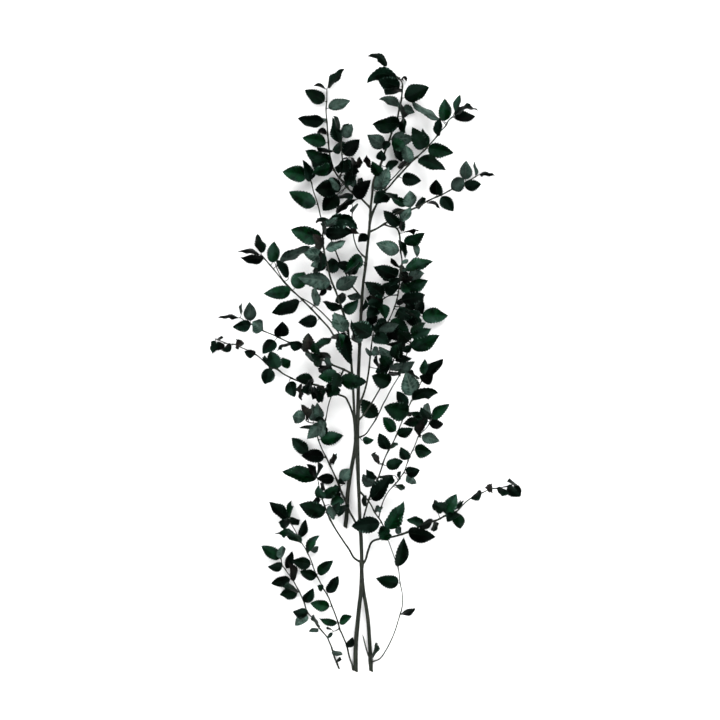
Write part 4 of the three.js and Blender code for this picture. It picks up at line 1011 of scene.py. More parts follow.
@dataclass
class Lie:
    """How leaves lie, one entry a leaf in every field. Angles are in radians, lengths in millimetres."""

    root: np.ndarray
    start: np.ndarray
    heading: np.ndarray
    reach: np.ndarray
    length: np.ndarray
    pitch: np.ndarray
    width: np.ndarray
    roll: np.ndarray
    arch: np.ndarray
    bow: np.ndarray
    table_margin: ClassVar[float] = 4.0
    probe: ClassVar[float] = 0.02
    untwisted_share: ClassVar[float] = 0.4

    @classmethod
    def gathered(cls, lies: list["Lie"]) -> "Lie":
        """Several leaves' lies as one."""
        return cls(*(np.concatenate([getattr(lie, f.name) for lie in lies]) for f in fields(cls)))

    def one(self, index: int) -> "Lie":
        """The lie of one leaf alone."""
        return Lie(*(getattr(self, f.name)[index : index + 1] for f in fields(self)))

    def midrib(self, share: np.ndarray) -> np.ndarray:
        """Places along the middle of each blade.

        Seen from above the place runs straight from the blade's start along its heading by the share
        of its reach, and swings to the left by the bow times 4 s (1 - s). Its height climbs by the
        pitch, bulges by the arch in the same way, and levels out above the table.

        Args:
            share: Shares of the blade's length, as (row,).

        Returns:
            Places, as (leaf, row, xyz).
        """
        swell = 4 * share * (1 - share)
        along = self.reach[:, None] * share
        swing = self.bow[:, None] * swell
        climb = (self.length * np.sin(self.pitch))[:, None] * share + self.arch[:, None] * swell
        x = self.start[:, :1] + self.heading[:, :1] * along - self.heading[:, 1:] * swing
        y = self.start[:, 1:2] + self.heading[:, 1:] * along + self.heading[:, :1] * swing
        return np.stack([x, y, settle(self.start[:, 2:] + climb, self.table_margin)], axis=-1)

    def frames(self, share: np.ndarray, twist: np.ndarray | float = 0.0) -> tuple[np.ndarray, ...]:
        """Directions along each blade, across it to the left and up through it, as (leaf, row, xyz)."""
        along = unit(self.midrib(share + self.probe) - self.midrib(share - self.probe))
        level = unit(np.cross([0.0, 0.0, 1.0], along))
        upright = np.cross(along, level)
        roll = (self.roll[:, None] + twist * (share - self.untwisted_share))[..., None]
        across = level * np.cos(roll) + upright * np.sin(roll)
        return along, across, np.cross(along, across)


@dataclass(frozen=True)
class LaidLeaf:
    """A leaf that has been laid: its number, what it shows, how it lies and where its stalk starts."""

    number: int
    kind: LeafKind
    lie: Lie
    root: np.ndarray


@dataclass
class LeafChooser:
    """Chooses how each leaf lies, so that it looks as its row says and is least crowded."""

    full_length: float = 24.0
    length_spread: tuple[float, float] = (0.9, 0.2)
    aspect: float = 0.5
    width_spare: float = 1.03
    read_width_factor: float = 1.12
    shortening: tuple[float, float] = (1.02, 1.3)
    steepest_roll: float = 1.2
    fold: float = 0.22
    arch_spread: tuple[float, float] = (0.04, 0.08)
    half_thickness: float = 0.35
    shortest_stalk: float = 2.2
    base_lifts: tuple[float, ...] = (0.5, 2.0, -1.0)
    lift_by_distance: float = 0.1
    extra_tilts: tuple[float, ...] = (0.0, 0.15, 0.3)
    room: float = 5.0
    room_steps: int = 5
    room_offset: float = 0.2
    taken: list[np.ndarray] = field(default_factory=list)

    def lies(self, row: LeafRow, wood: Wood, number: int) -> Lie:
        """The ways in which a leaf could lie and still look as its row says.

        Args:
            row: The leaf's row.
            wood: The wood that bears it.
            number: Its number, for its draws.

        Returns:
            One lie for each base height, tilt and side that it could roll to.
        """
        root, distance, _ = wood.nearest(row.x, row.y)
        tip = np.array([row.tip_x, row.tip_y])
        base = np.array([row.x, row.y])
        heading = unit(tip - base)
        if distance < self.shortest_stalk:
            base = root[:2] + heading * self.shortest_stalk
        reach = float(np.linalg.norm(tip - base))
        natural = self.full_length * float(spread(number, Choice.LENGTH, *self.length_spread))
        tilt = math.acos(1.0 / min(max(natural / reach, self.shortening[0]), self.shortening[1]))
        tilt *= either_way(number, Choice.TILT)
        side = either_way(number, Choice.ROLL)
        arch_share = float(spread(number, Choice.ARCH, *self.arch_spread))
        tilts = []
        for extra in self.extra_tilts:
            steeper = tilt + math.copysign(extra, tilt)
            tilts += [steeper, -steeper]
        ways = list(product(self.base_lifts, tilts + [0.0], (side, -side)))
        lift, pitch, turn = np.array(ways).T
        count = len(ways)
        length = reach / np.cos(pitch)
        seen_width = self.read_width_factor * row.width
        width = np.maximum(self.width_spare * seen_width, self.aspect * length)
        height = root[2] + lift * (1.0 + self.lift_by_distance * distance)
        return Lie(
            root=np.tile(root, (count, 1)),
            start=np.column_stack([np.full(count, base[0]), np.full(count, base[1]), height]),
            heading=np.tile(heading, (count, 1)),
            reach=np.full(count, reach),
            length=length,
            pitch=pitch,
            width=width,
            roll=np.minimum(np.arccos(seen_width / width), self.steepest_roll) * turn,
            arch=arch_share * length,
            bow=np.full(count, row.bow),
        )

    def places(self, lies: Lie, fold: float) -> np.ndarray:
        """Places on each blade that take up room, as (lie, place, xyz).

        They lie on the midrib and on edges that are half a width times 1 - s squared away from it.
        """
        share = (np.arange(1, self.room_steps + 1) - self.room_offset) / self.room_steps
        _, across, up = lies.frames(share)
        half = (lies.width[:, None] / 2 * (1 - share * share))[..., None]
        lift, thick = half * math.sin(fold) + self.half_thickness, self.half_thickness
        middle = lies.midrib(share)
        left = middle + across * half * math.cos(fold) + up * lift
        right = middle - across * half * math.cos(fold) + up * lift
        return np.stack([left, middle + up * thick, right], axis=2).reshape(len(lies.reach), -1, 3)

    def choose(self, row: LeafRow, wood: Wood, number: int) -> Lie:
        """The least crowded way for a leaf to lie, after the wood and the leaves laid before it.

        Crowding is the sum over pairs of places of (1 - distance / room) squared, where that is
        positive.

        Args:
            row: The leaf's row.
            wood: The wood that bears it.
            number: Its number, for its draws.

        Returns:
            The chosen lie.
        """
        lies = self.lies(row, wood, number)
        places = self.places(lies, -self.fold if row.kind is LeafKind.PALE else self.fold)
        taken = np.vstack(self.taken)
        middle = lies.one(0).midrib(np.array([0.5]))[0, 0]
        near = taken[np.linalg.norm(taken - middle, axis=1) < lies.reach[0] + self.room]
        apart = np.linalg.norm(places[:, :, None] - near[None, None], axis=3)
        crowding = (np.maximum(0.0, 1.0 - apart / self.room) ** 2).sum(axis=(1, 2))
        best = int(np.argmin(crowding))
        self.taken.append(places[best])
        return lies.one(best)


class Dress(Enum):
    """The materials of a piece of foliage, by their place in its list."""

    GREEN = 0
    DARK = 1
    UNDERSIDE = 2
    BROWN = 3
    STALK = 4


BLADE_DRESS: dict[LeafKind, tuple[Dress, Dress]] = {
    LeafKind.GREEN: (Dress.GREEN, Dress.UNDERSIDE),
    LeafKind.DARK: (Dress.DARK, Dress.UNDERSIDE),
    LeafKind.PALE: (Dress.UNDERSIDE, Dress.GREEN),
    LeafKind.BROWN: (Dress.BROWN, Dress.BROWN),
}
VEIN_PAIRS = 6.5
VEIN_SLANT = 1.6


@dataclass
class Foliage:
    """Leaves with toothed margins, side veins in relief, and a stalk that runs on as the midrib."""

    rows: int = 21
    row_span: tuple[float, float] = (0.025, 0.985)
    columns: tuple[float, ...] = (1.0, 0.66, 0.26, 0.0, -0.26, -0.66, -1.0)
    usual_width: float = 12.0
    thickness: float = 0.42
    edge_thinning: float = 0.55
    tip_thinning: float = 0.4
    fullness: float = 1.12
    rise: tuple[float, float] = (0.53, 0.14)
    fall: tuple[float, float] = (0.95, 0.16)
    twist: float = 0.7
    fold: float = 0.22
    fold_power: float = 1.4
    dry_fold: float = 1.2
    tooth_depth: float = 0.75
    tooth_lean: float = 0.7
    notch: float = 0.6
    tooth_crowding: float = 0.8
    largest_teeth: float = 1.2
    vein_relief: float = 0.11
    groove: float = 0.14
    crumple_bow: float = 4.0
    crumple_size: tuple[float, float] = (0.9, 0.5)
    wave: float = 0.75
    wave_count: tuple[float, float] = (0.8, 1.3)
    crumpled_count: float = 1.5
    calmest_wave: float = 0.6
    dry_wave: float = 1.5
    crumpled_wave: float = 1.6
    curl: float = 1.2
    curl_start: float = 0.65
    curl_spread: float = 0.12
    curl_at_tip: float = 1.02
    curl_balance: float = 0.6
    table_margin: float = 1.0
    lowest: float = 0.02
    stalk_radius: tuple[float, float] = (0.62, 0.4)
    stalk_share: float = 0.9
    stalk_rings: int = 4
    stalk_thinning: float = 0.45
    widest_stalk: float = 1.15
    rib_radius: tuple[float, float] = (0.36, 0.1)
    rib_thinning: float = 0.6
    rib_shares: tuple[float, ...] = (0.03, 0.12, 0.25, 0.4, 0.55, 0.7, 0.84)
    rib_depth: tuple[float, float] = (0.1, 0.06)
    rib_tip: float = 0.4
    lowest_stalk: float = 0.3

    def blade_faces(self) -> tuple[np.ndarray, np.ndarray, np.ndarray, np.ndarray]:
        """Faces of one blade.

        Its top is a grid of rows and columns between a base point and a tip point, and its underside
        shares the grid's margins and the two points.

        Returns:
            Quads, triangles, and for each whether it is on the underside.
        """
        rows, columns = self.rows, len(self.columns)
        top = 1 + np.arange(rows * columns).reshape(rows, columns)
        under = top.copy()
        inner = rows * (columns - 2)
        under[:, 1:-1] = 1 + rows * columns + np.arange(inner).reshape(rows, columns - 2)
        tip = np.full(columns - 1, 1 + rows * columns + inner)
        base = np.zeros(columns - 1, dtype=int)
        quads, triangles = [], []
        for grid, turn in ((top, 1), (under, -1)):
            ring = [grid[:-1, :-1], grid[:-1, 1:], grid[1:, 1:], grid[1:, :-1]]
            quads.append(np.stack(ring[::turn], axis=-1).reshape(-1, 4))
            first = np.stack([base, grid[0, 1:], grid[0, :-1]][::turn], axis=-1)
            last = np.stack([grid[-1, :-1], grid[-1, 1:], tip][::turn], axis=-1)
            triangles.append(np.vstack([first, last]))
        quad_under = np.repeat([0, 1], len(quads[0]))
        triangle_under = np.repeat([0, 1], len(triangles[0]))
        return np.vstack(quads), np.vstack(triangles), quad_under, triangle_under

    def outline(self, share: np.ndarray, numbers: np.ndarray) -> np.ndarray:
        """Each blade's width as a share of its full width: s to a power times (1 - s) to another.

        Args:
            share: Shares of the length, as (row,).
            numbers: The leaves' numbers.

        Returns:
            Width shares, as (leaf, row), 1 where the blade is widest.
        """
        rise = spread(numbers, Choice.RISE, *self.rise)[:, None]
        fall = spread(numbers, Choice.FALL, *self.fall)[:, None]
        widest = rise / (rise + fall)
        return (share / widest) ** rise * ((1 - share) / (1 - widest)) ** fall

    def margin_waves(self, lie: Lie, dry: np.ndarray, numbers: np.ndarray, share: np.ndarray) -> np.ndarray:
        """How far waves lift each blade: a sine along each margin, times the distance out squared.

        The waves of dry leaves are higher. Wide leaves whose middle swings far have crumpled, and their
        waves are both more and higher.

        Args:
            lie: How the leaves lie.
            dry: 1 for a dry leaf, otherwise 0, as (leaf, 1, 1).
            numbers: The leaves' numbers.
            share: Shares of the length, as (row,).

        Returns:
            Heights, as (leaf, row, column).
        """
        v, s = np.array(self.columns), share[None, :, None]
        size = (lie.width / self.usual_width)[:, None, None]
        least, most = self.crumple_size
        bowed = np.clip(np.abs(lie.bow) / self.crumple_bow - 1, 0.0, 1.0)[:, None, None]
        crumple = bowed * np.clip(size - least, 0.0, most)
        turns = spread(numbers, Choice.WAVE_COUNT, *self.wave_count)[:, None, None]
        turns = turns + self.crumpled_count * crumple
        left, right = (draw(numbers, side)[:, None, None] for side in (Choice.LEFT_WAVE, Choice.RIGHT_WAVE))
        phase = 2 * np.pi * np.where(v > 0, left, right)
        strength = spread(numbers, Choice.WAVE_HEIGHT, self.calmest_wave, 1.0)[:, None, None]
        strength = strength + self.dry_wave * dry + self.crumpled_wave * crumple
        edge = self.wave * size * strength * v**2
        return edge * np.sin(2 * np.pi * turns * s + phase) * np.sin(np.pi * s) ** 0.5

    def curls(self, size: np.ndarray, numbers: np.ndarray, bend: np.ndarray | float) -> np.ndarray:
        """How far each blade's tip curls up or down where its curl has this bend of 0 to about 1."""
        curl = self.curl * (draw(numbers, Choice.DROOP) - self.curl_balance)
        return curl.reshape(size.shape) * bend * np.minimum(size, 1.0)

    def blades(self, lie: Lie, kinds: list[LeafKind], numbers: np.ndarray) -> Skin:
        """The blades of many leaves.

        Across a blade the surface rises by the fold with a power of the distance from the midrib. A wave
        along each margin, bulges between the side veins, a groove at the midrib and a curl towards the
        tip are added. Every second row ends in a tooth that leans forward.

        Args:
            lie: How the leaves lie.
            kinds: What each shows from above.
            numbers: Their numbers.

        Returns:
            The closed blades as one skin.
        """
        count = len(numbers)
        share = np.linspace(*self.row_span, self.rows)
        s, v = share[None, :, None], np.array(self.columns)
        out, margin = np.abs(v), np.abs(v) == 1.0
        pale_side = np.array([kind is LeafKind.PALE for kind in kinds])
        facing = np.where(pale_side, -1.0, 1.0)[:, None, None]
        dry = np.array([kind is LeafKind.BROWN for kind in kinds]).astype(float)[:, None, None]
        twist = (draw(numbers, Choice.TWIST) - 0.5)[:, None] * self.twist
        along, across, up = lie.frames(share, twist)
        half = (self.fullness * lie.width[:, None] / 2 * self.outline(share, numbers))[..., None]
        size = (lie.width / self.usual_width)[:, None, None]
        tooth = np.where(np.arange(self.rows) % 2 == 0, 1.0, -self.notch)
        tooth = tooth * np.sin(np.pi * share**self.tooth_crowding)
        depth = self.tooth_depth * np.minimum(size, self.largest_teeth) * tooth[None, :, None] * margin
        fold = self.fold * facing
        side = half * v * np.cos(fold) + np.sign(v) * depth
        forward = self.tooth_lean * np.maximum(depth, 0.0)
        lift = half * np.sin(fold) * out**self.fold_power * (1.0 + self.dry_fold * dry)
        lift = lift + self.margin_waves(lie, dry, numbers, share)
        veins = np.cos(2 * np.pi * (VEIN_PAIRS * s - VEIN_SLANT * out)) * 4 * out * (1 - out)
        lift = lift - facing * (self.vein_relief * veins * size + self.groove * (out == 0.0))
        lift = lift + self.curls(size, numbers, np.maximum(s - self.curl_start, 0.0) ** 2 / self.curl_spread)
        surface = lie.midrib(share)[:, :, None] + across[:, :, None] * side[..., None]
        surface = surface + up[:, :, None] * lift[..., None] + along[:, :, None] * forward[..., None]
        surface[..., 2] = settle(surface[..., 2], self.table_margin)
        thick = self.thickness / 2 * (1 - self.edge_thinning * v**2)[None, None, :, None]
        thick = thick * (1 - self.tip_thinning * s)[..., None]
        top = surface + up[:, :, None] * thick * ~margin[None, None, :, None]
        under = surface - up[:, :, None] * thick
        ends = lie.midrib(np.array([0.0, 1.0]))
        tip = ends[:, 1:] + up[:, -1:] * self.curls(size, numbers, self.curl_at_tip)
        tip[..., 2] = settle(tip[..., 2], self.table_margin)
        under = under[:, :, 1:-1].reshape(count, -1, 3)
        points = np.concatenate([ends[:, :1], top.reshape(count, -1, 3), under, tip], axis=1)
        points[..., 2] = np.maximum(points[..., 2], self.lowest)
        tones = draw(numbers, Choice.TONE)[:, None, None]
        grid = np.stack(np.broadcast_arrays(s, v, tones), axis=-1)
        cap = tones * [0.0, 0.0, 1.0]
        grid_under = grid[:, :, 1:-1].reshape(count, -1, 3)
        grid_top = grid.reshape(count, -1, 3)
        pattern = np.concatenate([cap, grid_top, grid_under, cap + [1.0, 0.0, 0.0]], axis=1)
        quads, triangles, quad_under, triangle_under = self.blade_faces()
        faces = np.array([[dress.value for dress in BLADE_DRESS[kind]] for kind in kinds])
        return Skin.repeated(
            points, pattern, quads, triangles, faces[:, quad_under], faces[:, triangle_under]
        )

    def stalks(self, lie: Lie, kinds: list[LeafKind], roots: np.ndarray) -> Skin:
        """The leaves' stalks, which run on under their blades as midribs.

        A stalk is a bent line: it leaves its root and arrives along the blade, and its corner lies
        half the stalk's length before the blade. The midrib follows the blade a little below it.

        Args:
            lie: How the leaves lie.
            kinds: What each shows from above.
            roots: Where each stalk leaves its wood.

        Returns:
            The closed stalks as one skin.
        """
        share = np.array(self.rib_shares)
        along, _, up = lie.frames(share)
        below = np.where([kind is LeafKind.PALE for kind in kinds], 1.0, -1.0)[:, None, None]
        depth = self.rib_depth[0] + self.rib_depth[1] * (1 - share)
        rib = lie.midrib(share) + up * below * depth[None, :, None]
        start = lie.start[:, None]
        away = np.linalg.norm(start[:, 0] - roots, axis=1)[:, None, None]
        corner = start - along[:, :1] * away * 0.5
        t = np.linspace(0.0, self.stalk_share, self.stalk_rings)[None, :, None]
        stalk = (1 - t) ** 2 * roots[:, None] + 2 * t * (1 - t) * corner + t**2 * start
        centres = np.concatenate([stalk, rib], axis=1)
        narrow = 1 - np.minimum(lie.width / self.usual_width, self.widest_stalk)[:, None]
        stalk_radii = np.linspace(*self.stalk_radius, self.stalk_rings) * (1 - self.stalk_thinning * narrow)
        rib_radii = np.linspace(*self.rib_radius, len(share)) * (1 - self.rib_thinning * narrow)
        radii = np.concatenate([stalk_radii, rib_radii], axis=1)
        centres[..., 2] = np.maximum(centres[..., 2], self.lowest_stalk)
        tube = Tube(sides=5, dress=Dress.STALK.value, cut_dress=Dress.STALK.value)
        return tube.skin(centres, radii, tip=self.rib_tip)


# Finishes


def screen(red: int, green_: int, blue: int) -> tuple[float, float, float, float]:
    """A linear colour from its three values of 0 to 255 on a screen."""
    parts = (value / 255 for value in (red, green_, blue))
    linear = [p / 12.92 if p <= 0.04045 else ((p + 0.055) / 1.055) ** 2.4 for p in parts]
    return (*linear, 1.0)


@dataclass
class Graph:
    """A node tree that nodes are added to by their sockets' names."""

    tree: bpy.types.NodeTree

    @staticmethod
    def of_material(name: str) -> tuple[bpy.types.Material, "Graph"]:
        """A new material and its graph, still empty."""
        made = bpy.data.materials.new(name)
        made.use_nodes = True
        made.node_tree.nodes.clear()
        return made, Graph(made.node_tree)

    def node(self, kind: str, sockets: dict[Any, Any] | None = None, **settings: Any) -> bpy.types.Node:
        """A new node with its settings and sockets.

        Args:
            kind: Blender's name for the node.
            sockets: For an input's name or number, a value or the output that feeds it.
            settings: Properties of the node.

        Returns:
            The node.
        """
        made = self.tree.nodes.new(kind)
        for name, value in settings.items():
            setattr(made, name, value)
        for key, value in (sockets or {}).items():
            if isinstance(value, bpy.types.NodeSocket):
                self.tree.links.new(value, made.inputs[key])
            else:
                made.inputs[key].default_value = value
        return made

    def sum(self, operation: str, *values: Any) -> bpy.types.NodeSocket:
        """The output of a Math node on up to three values or outputs."""
        return self.node("ShaderNodeMath", dict(enumerate(values)), operation=operation).outputs[0]

    def step(self, value: Any, low: float, high: float) -> bpy.types.NodeSocket:
        """A smooth step from 0 at the low value to 1 at the high one."""
        sockets = {"Value": value, "From Min": low, "From Max": high}
        made = self.node("ShaderNodeMapRange", sockets, interpolation_type="SMOOTHSTEP")
        return made.outputs["Result"]

    def between(self, value: Any, low: float, high: float) -> bpy.types.NodeSocket:
        """A value of 0 to 1 spread between two others."""
        sockets = {"Value": value, "To Min": low, "To Max": high}
        return self.node("ShaderNodeMapRange", sockets).outputs["Result"]

    def mix(self, factor: Any, first: Any, second: Any, blend: str = "MIX") -> bpy.types.NodeSocket:
        """A colour between two others, or the second laid on the first by a blend."""
        made = self.node("ShaderNodeMix", data_type="RGBA", blend_type=blend, clamp_factor=True)
        for socket, value in ((made.inputs[0], factor), (made.inputs[6], first), (made.inputs[7], second)):
            if isinstance(value, bpy.types.NodeSocket):
                self.tree.links.new(value, socket)
            else:
                socket.default_value = value
        return made.outputs[2]

    def group(self, tree: bpy.types.NodeTree, sockets: dict[str, Any]) -> bpy.types.Node:
        """A placed node group with its inputs."""
        return self.node("ShaderNodeGroup", sockets, node_tree=tree)

    def surface(self, colour: Any, rough: Any, specular: float, height: Any, bump: tuple) -> None:
        """Ends a material's graph in its shader.

        Args:
            colour: The base colour.
            rough: The roughness.
            specular: How strongly it reflects.
            height: The height that the bumps come from.
            bump: The bumps' depth in metres and their strength.
        """
        bumps = {"Height": height, "Distance": bump[0], "Strength": bump[1]}
        normal = self.node("ShaderNodeBump", bumps).outputs[0]
        sockets = {"Base Color": colour, "Roughness": rough, "Normal": normal, "Specular IOR Level": specular}
        shader = self.node("ShaderNodeBsdfPrincipled", sockets)
        self.node("ShaderNodeOutputMaterial", {"Surface": shader.outputs[0]})


def new_group(name: str, inputs: dict[str, tuple[str, Any]], outputs: list[str]) -> tuple:
    """An empty shader node group.

    Args:
        name: The group's name.
        inputs: For each input's name, its socket's kind and its first value.
        outputs: The names of its number outputs.

    Returns:
        The group's tree, its graph, its input node and its output node.
    """
    tree = bpy.data.node_groups.new(name, "ShaderNodeTree")
    for label, (kind, value) in inputs.items():
        socket = tree.interface.new_socket(name=label, in_out="INPUT", socket_type=kind)
        if value is not None:
            socket.default_value = value
    for label in outputs:
        tree.interface.new_socket(name=label, in_out="OUTPUT", socket_type="NodeSocketFloat")
    graph = Graph(tree)
    return tree, graph, graph.node("NodeGroupInput"), graph.node("NodeGroupOutput")


def vein_group() -> bpy.types.NodeTree:
    """Side veins that leave the midrib in pairs and slant towards the tip, and the midrib itself."""
    number = "NodeSocketFloat"
    vein_width, midrib_edge, vein_fade, rim = 0.13, (0.13, 0.03), (1.0, 0.55), (0.8, 1.0)
    inputs = {"Blade": ("NodeSocketVector", None)}
    inputs |= {"Pairs": (number, VEIN_PAIRS), "Slant": (number, VEIN_SLANT)}
    tree, graph, given, result = new_group("leaf_veins", inputs, ["Veins", "Midrib", "Margin"])
    place = graph.node("ShaderNodeSeparateXYZ", {"Vector": given.outputs["Blade"]})
    out = graph.sum("ABSOLUTE", place.outputs["Y"])
    phase = graph.sum("MULTIPLY", place.outputs["X"], given.outputs["Pairs"])
    phase = graph.sum("SUBTRACT", phase, graph.sum("MULTIPLY", out, given.outputs["Slant"]))
    crest = graph.sum("PINGPONG", phase, 0.5)
    side = graph.step(crest, vein_width, 0.0)
    side = graph.sum("MULTIPLY", side, graph.step(out, *vein_fade))
    graph.tree.links.new(side, result.inputs["Veins"])
    graph.tree.links.new(graph.step(out, *midrib_edge), result.inputs["Midrib"])
    graph.tree.links.new(graph.step(out, *rim), result.inputs["Margin"])
    return tree


def mottle_group() -> bpy.types.NodeTree:
    """Blotches of two sizes, as numbers of 0 to 1, from noise on a vector."""
    finer, contrast = 6.0, (0.32, 0.68)
    inputs = {"Vector": ("NodeSocketVector", None), "Scale": ("NodeSocketFloat", 100.0)}
    tree, graph, given, result = new_group("mottle", inputs, ["Broad", "Fine"])
    vector = given.outputs["Vector"]
    broad = {"Vector": vector, "Scale": given.outputs["Scale"], "Detail": 3.0, "Roughness": 0.55}
    fine_scale = graph.sum("MULTIPLY", given.outputs["Scale"], finer)
    fine = {"Vector": vector, "Scale": fine_scale, "Detail": 4.0, "Roughness": 0.6}
    for label, sockets in (("Broad", broad), ("Fine", fine)):
        noise = graph.node("ShaderNodeTexNoise", sockets, noise_dimensions="3D")
        graph.tree.links.new(graph.step(noise.outputs[0], *contrast), result.inputs[label])
    return tree


@dataclass(frozen=True)
class LeafFinish:
    """One side of a dried leaf: its colours with a painted lit half, shaded half and sheen, how glossy it is
    and how deep its veins lie.
    """

    name: str
    shade: tuple
    light: tuple
    vein: tuple
    margin: tuple
    roughness: tuple[float, float] = (0.3, 0.46)
    specular: float = 0.012
    blotch_scale: float = 110.0
    vein_colour: float = 0.4
    vein_depth: float = -0.6
    grain_depth: float = 0.35
    bump: tuple[float, float] = (0.0002, 0.6)
    margin_wear: float = 0.7
    tone_spread: tuple[float, float] = (0.12, 1.35)
    # Painted light and shade: the lit half of each blade is painted up to 1.15 times as light, the other half
    # down to 0.68 times as dark.
    lit_and_shaded_tones: tuple[float, float] = (0.68, 1.15)
    half_draw: float = 57.0
    half_edge: float = 0.3
    gleam_scale: float = 48.0
    gleam_step: tuple[float, float] = (0.35, 1.0)
    tip_step: tuple[float, float] = (0.55, 1.0)
    # Painted sheen: how strongly a pale grey-green highlight is mixed into the colour on the lit half, the
    # tip and blotches.
    painted_sheen: float = 0.09
    sheen_at_tip: float = 0.4
    bloom_on_half: float = 0.5
    # Colour of the painted sheen.
    sheen_colour: tuple = screen(40, 62, 54)

    def material(self, veins: bpy.types.NodeTree, mottle: bpy.types.NodeTree) -> bpy.types.Material:
        """The material, with the leaf's pattern read from its own pattern places.

        Each leaf has its own tone, and one half of it, the left or the right, is painted lighter as if lit
        while the other is painted darker as if in shade. A painted sheen, a grey-green highlight, lies on
        the lit half, on the tip and in blotches.
        """
        made, graph = Graph.of_material(self.name)
        pattern = graph.node("ShaderNodeAttribute", attribute_name="pattern").outputs["Vector"]
        spot = graph.node("ShaderNodeSeparateXYZ", {"Vector": pattern}).outputs
        place = graph.node("ShaderNodeTexCoord").outputs["Object"]
        blotch = graph.group(mottle, {"Vector": place, "Scale": self.blotch_scale}).outputs
        lines = graph.group(veins, {"Blade": pattern}).outputs
        colour = graph.mix(blotch["Broad"], self.shade, self.light)
        line = graph.sum("MAXIMUM", lines["Veins"], lines["Midrib"])
        colour = graph.mix(graph.sum("MULTIPLY", line, self.vein_colour), colour, self.vein)
        worn = graph.sum("MULTIPLY", lines["Margin"], blotch["Fine"])
        colour = graph.mix(graph.sum("MULTIPLY", worn, self.margin_wear), colour, self.margin)
        # Painted sheen: blotches where a highlight is painted on, with more on the tip and the lit half.
        gleam = graph.group(mottle, {"Vector": place, "Scale": self.gleam_scale}).outputs["Broad"]
        # Painted light and shade: a draw for each leaf picks which half of the blade is painted as the lit
        # one.
        turned = graph.sum("SIGN", graph.sum("SINE", graph.sum("MULTIPLY", spot["Z"], self.half_draw)))
        turned = graph.sum("MULTIPLY", spot["Y"], turned)
        lit_half = graph.step(turned, -self.half_edge, self.half_edge)
        tip = graph.step(spot["X"], *self.tip_step)
        painted_sheen = graph.step(gleam, *self.gleam_step)
        painted_sheen = graph.sum("MULTIPLY_ADD", tip, self.sheen_at_tip, painted_sheen)
        painted_sheen = graph.sum("MULTIPLY_ADD", lit_half, self.bloom_on_half, painted_sheen)
        # The painted highlight is mixed into the leaf colour here.
        colour = graph.mix(graph.sum("MULTIPLY", painted_sheen, self.painted_sheen), colour, self.sheen_colour)
        tone = graph.between(spot["Z"], *self.tone_spread)
        # Painted light and shade: the lit half is made lighter and the other half darker.
        tone = graph.sum("MULTIPLY", tone, graph.between(lit_half, *self.lit_and_shaded_tones))
        grey = graph.node("ShaderNodeCombineColor", {0: tone, 1: tone, 2: tone}).outputs[0]
        colour = graph.mix(1.0, colour, grey, "MULTIPLY")
        rough = graph.between(blotch["Fine"], *self.roughness)
        grain = graph.sum("MULTIPLY", blotch["Fine"], self.grain_depth)
        height = graph.sum("MULTIPLY_ADD", line, self.vein_depth, grain)
        graph.surface(colour, rough, self.specular, height, self.bump)
        return made


@dataclass(frozen=True)
class BarkFinish:
    """Bark with streaks along the wood, read from the wood's own pattern places."""

    name: str
    furrow: tuple
    ridge: tuple
    blush: tuple
    roughness: tuple[float, float] = (0.5, 0.8)
    specular: float = 0.04
    streak: tuple[float, float, float] = (1.6, 1.6, 0.12)
    streak_depth: tuple[float, float] = (0.7, 0.3)
    patch_scale: float = 45.0
    patch_strength: float = 0.55
    bump: tuple[float, float] = (0.0003, 0.7)

    def material(self, mottle: bpy.types.NodeTree) -> bpy.types.Material:
        """The material: fine streaks over broad patches."""
        made, graph = Graph.of_material(self.name)
        pattern = graph.node("ShaderNodeAttribute", attribute_name="pattern").outputs["Vector"]
        place = graph.node("ShaderNodeTexCoord").outputs["Object"]
        stretched = graph.node("ShaderNodeMapping", {"Vector": pattern, "Scale": self.streak}).outputs[0]
        streaks = graph.group(mottle, {"Vector": stretched, "Scale": 1.0}).outputs
        patches = graph.group(mottle, {"Vector": place, "Scale": self.patch_scale}).outputs
        colour = graph.mix(streaks["Broad"], self.furrow, self.ridge)
        colour = graph.mix(graph.sum("MULTIPLY", patches["Broad"], self.patch_strength), colour, self.blush)
        rough = graph.between(streaks["Fine"], *self.roughness)
        broad, fine = self.streak_depth
        grain = graph.sum("MULTIPLY", streaks["Fine"], fine)
        height = graph.sum("MULTIPLY_ADD", streaks["Broad"], broad, grain)
        graph.surface(colour, rough, self.specular, height, self.bump)
        return made


class Finishes:
    """Every material of the spray, made once."""

    def __init__(self) -> None:
        """Makes the shared node groups and the materials from them."""
        veins, mottle = vein_group(), mottle_group()
        leaves = [
            LeafFinish(
                name="leaf_green",
                shade=screen(0, 6, 1),
                light=screen(0, 30, 8),
                vein=screen(3, 38, 20),
                margin=screen(0, 4, 1),
                # A stronger painted sheen on the green leaves.
                painted_sheen=0.26,
            ),
            LeafFinish(
                name="leaf_dark",
                shade=screen(0, 2, 0),
                light=screen(0, 9, 3),
                vein=screen(4, 20, 13),
                margin=screen(0, 1, 0),
            ),
            LeafFinish(
                name="leaf_underside",
                shade=screen(16, 32, 26),
                light=screen(57, 76, 69),
                vein=screen(81, 96, 88),
                margin=screen(24, 31, 26),
                roughness=(0.5, 0.7),
                specular=0.06,
                vein_depth=0.6,
                tone_spread=(0.45, 1.6),
            ),
            LeafFinish(
                name="leaf_dried_brown",
                shade=screen(12, 10, 10),
                light=screen(34, 30, 28),
                vein=screen(48, 42, 38),
                margin=screen(10, 8, 7),
                roughness=(0.5, 0.75),
            ),
        ]
        self.foliage = [leaf.material(veins, mottle) for leaf in leaves]
        twig = BarkFinish("twig_bark", screen(8, 10, 8), screen(32, 35, 31), screen(17, 23, 18))
        stem = BarkFinish("stem_bark", screen(12, 14, 12), screen(52, 55, 49), screen(25, 32, 26))
        cut = BarkFinish("cut_wood", screen(120, 104, 78), screen(176, 158, 122), screen(140, 120, 90))
        stalk, self.stem, self.cut = (bark.material(mottle) for bark in (twig, stem, cut))
        self.foliage.append(stalk)


# The stems


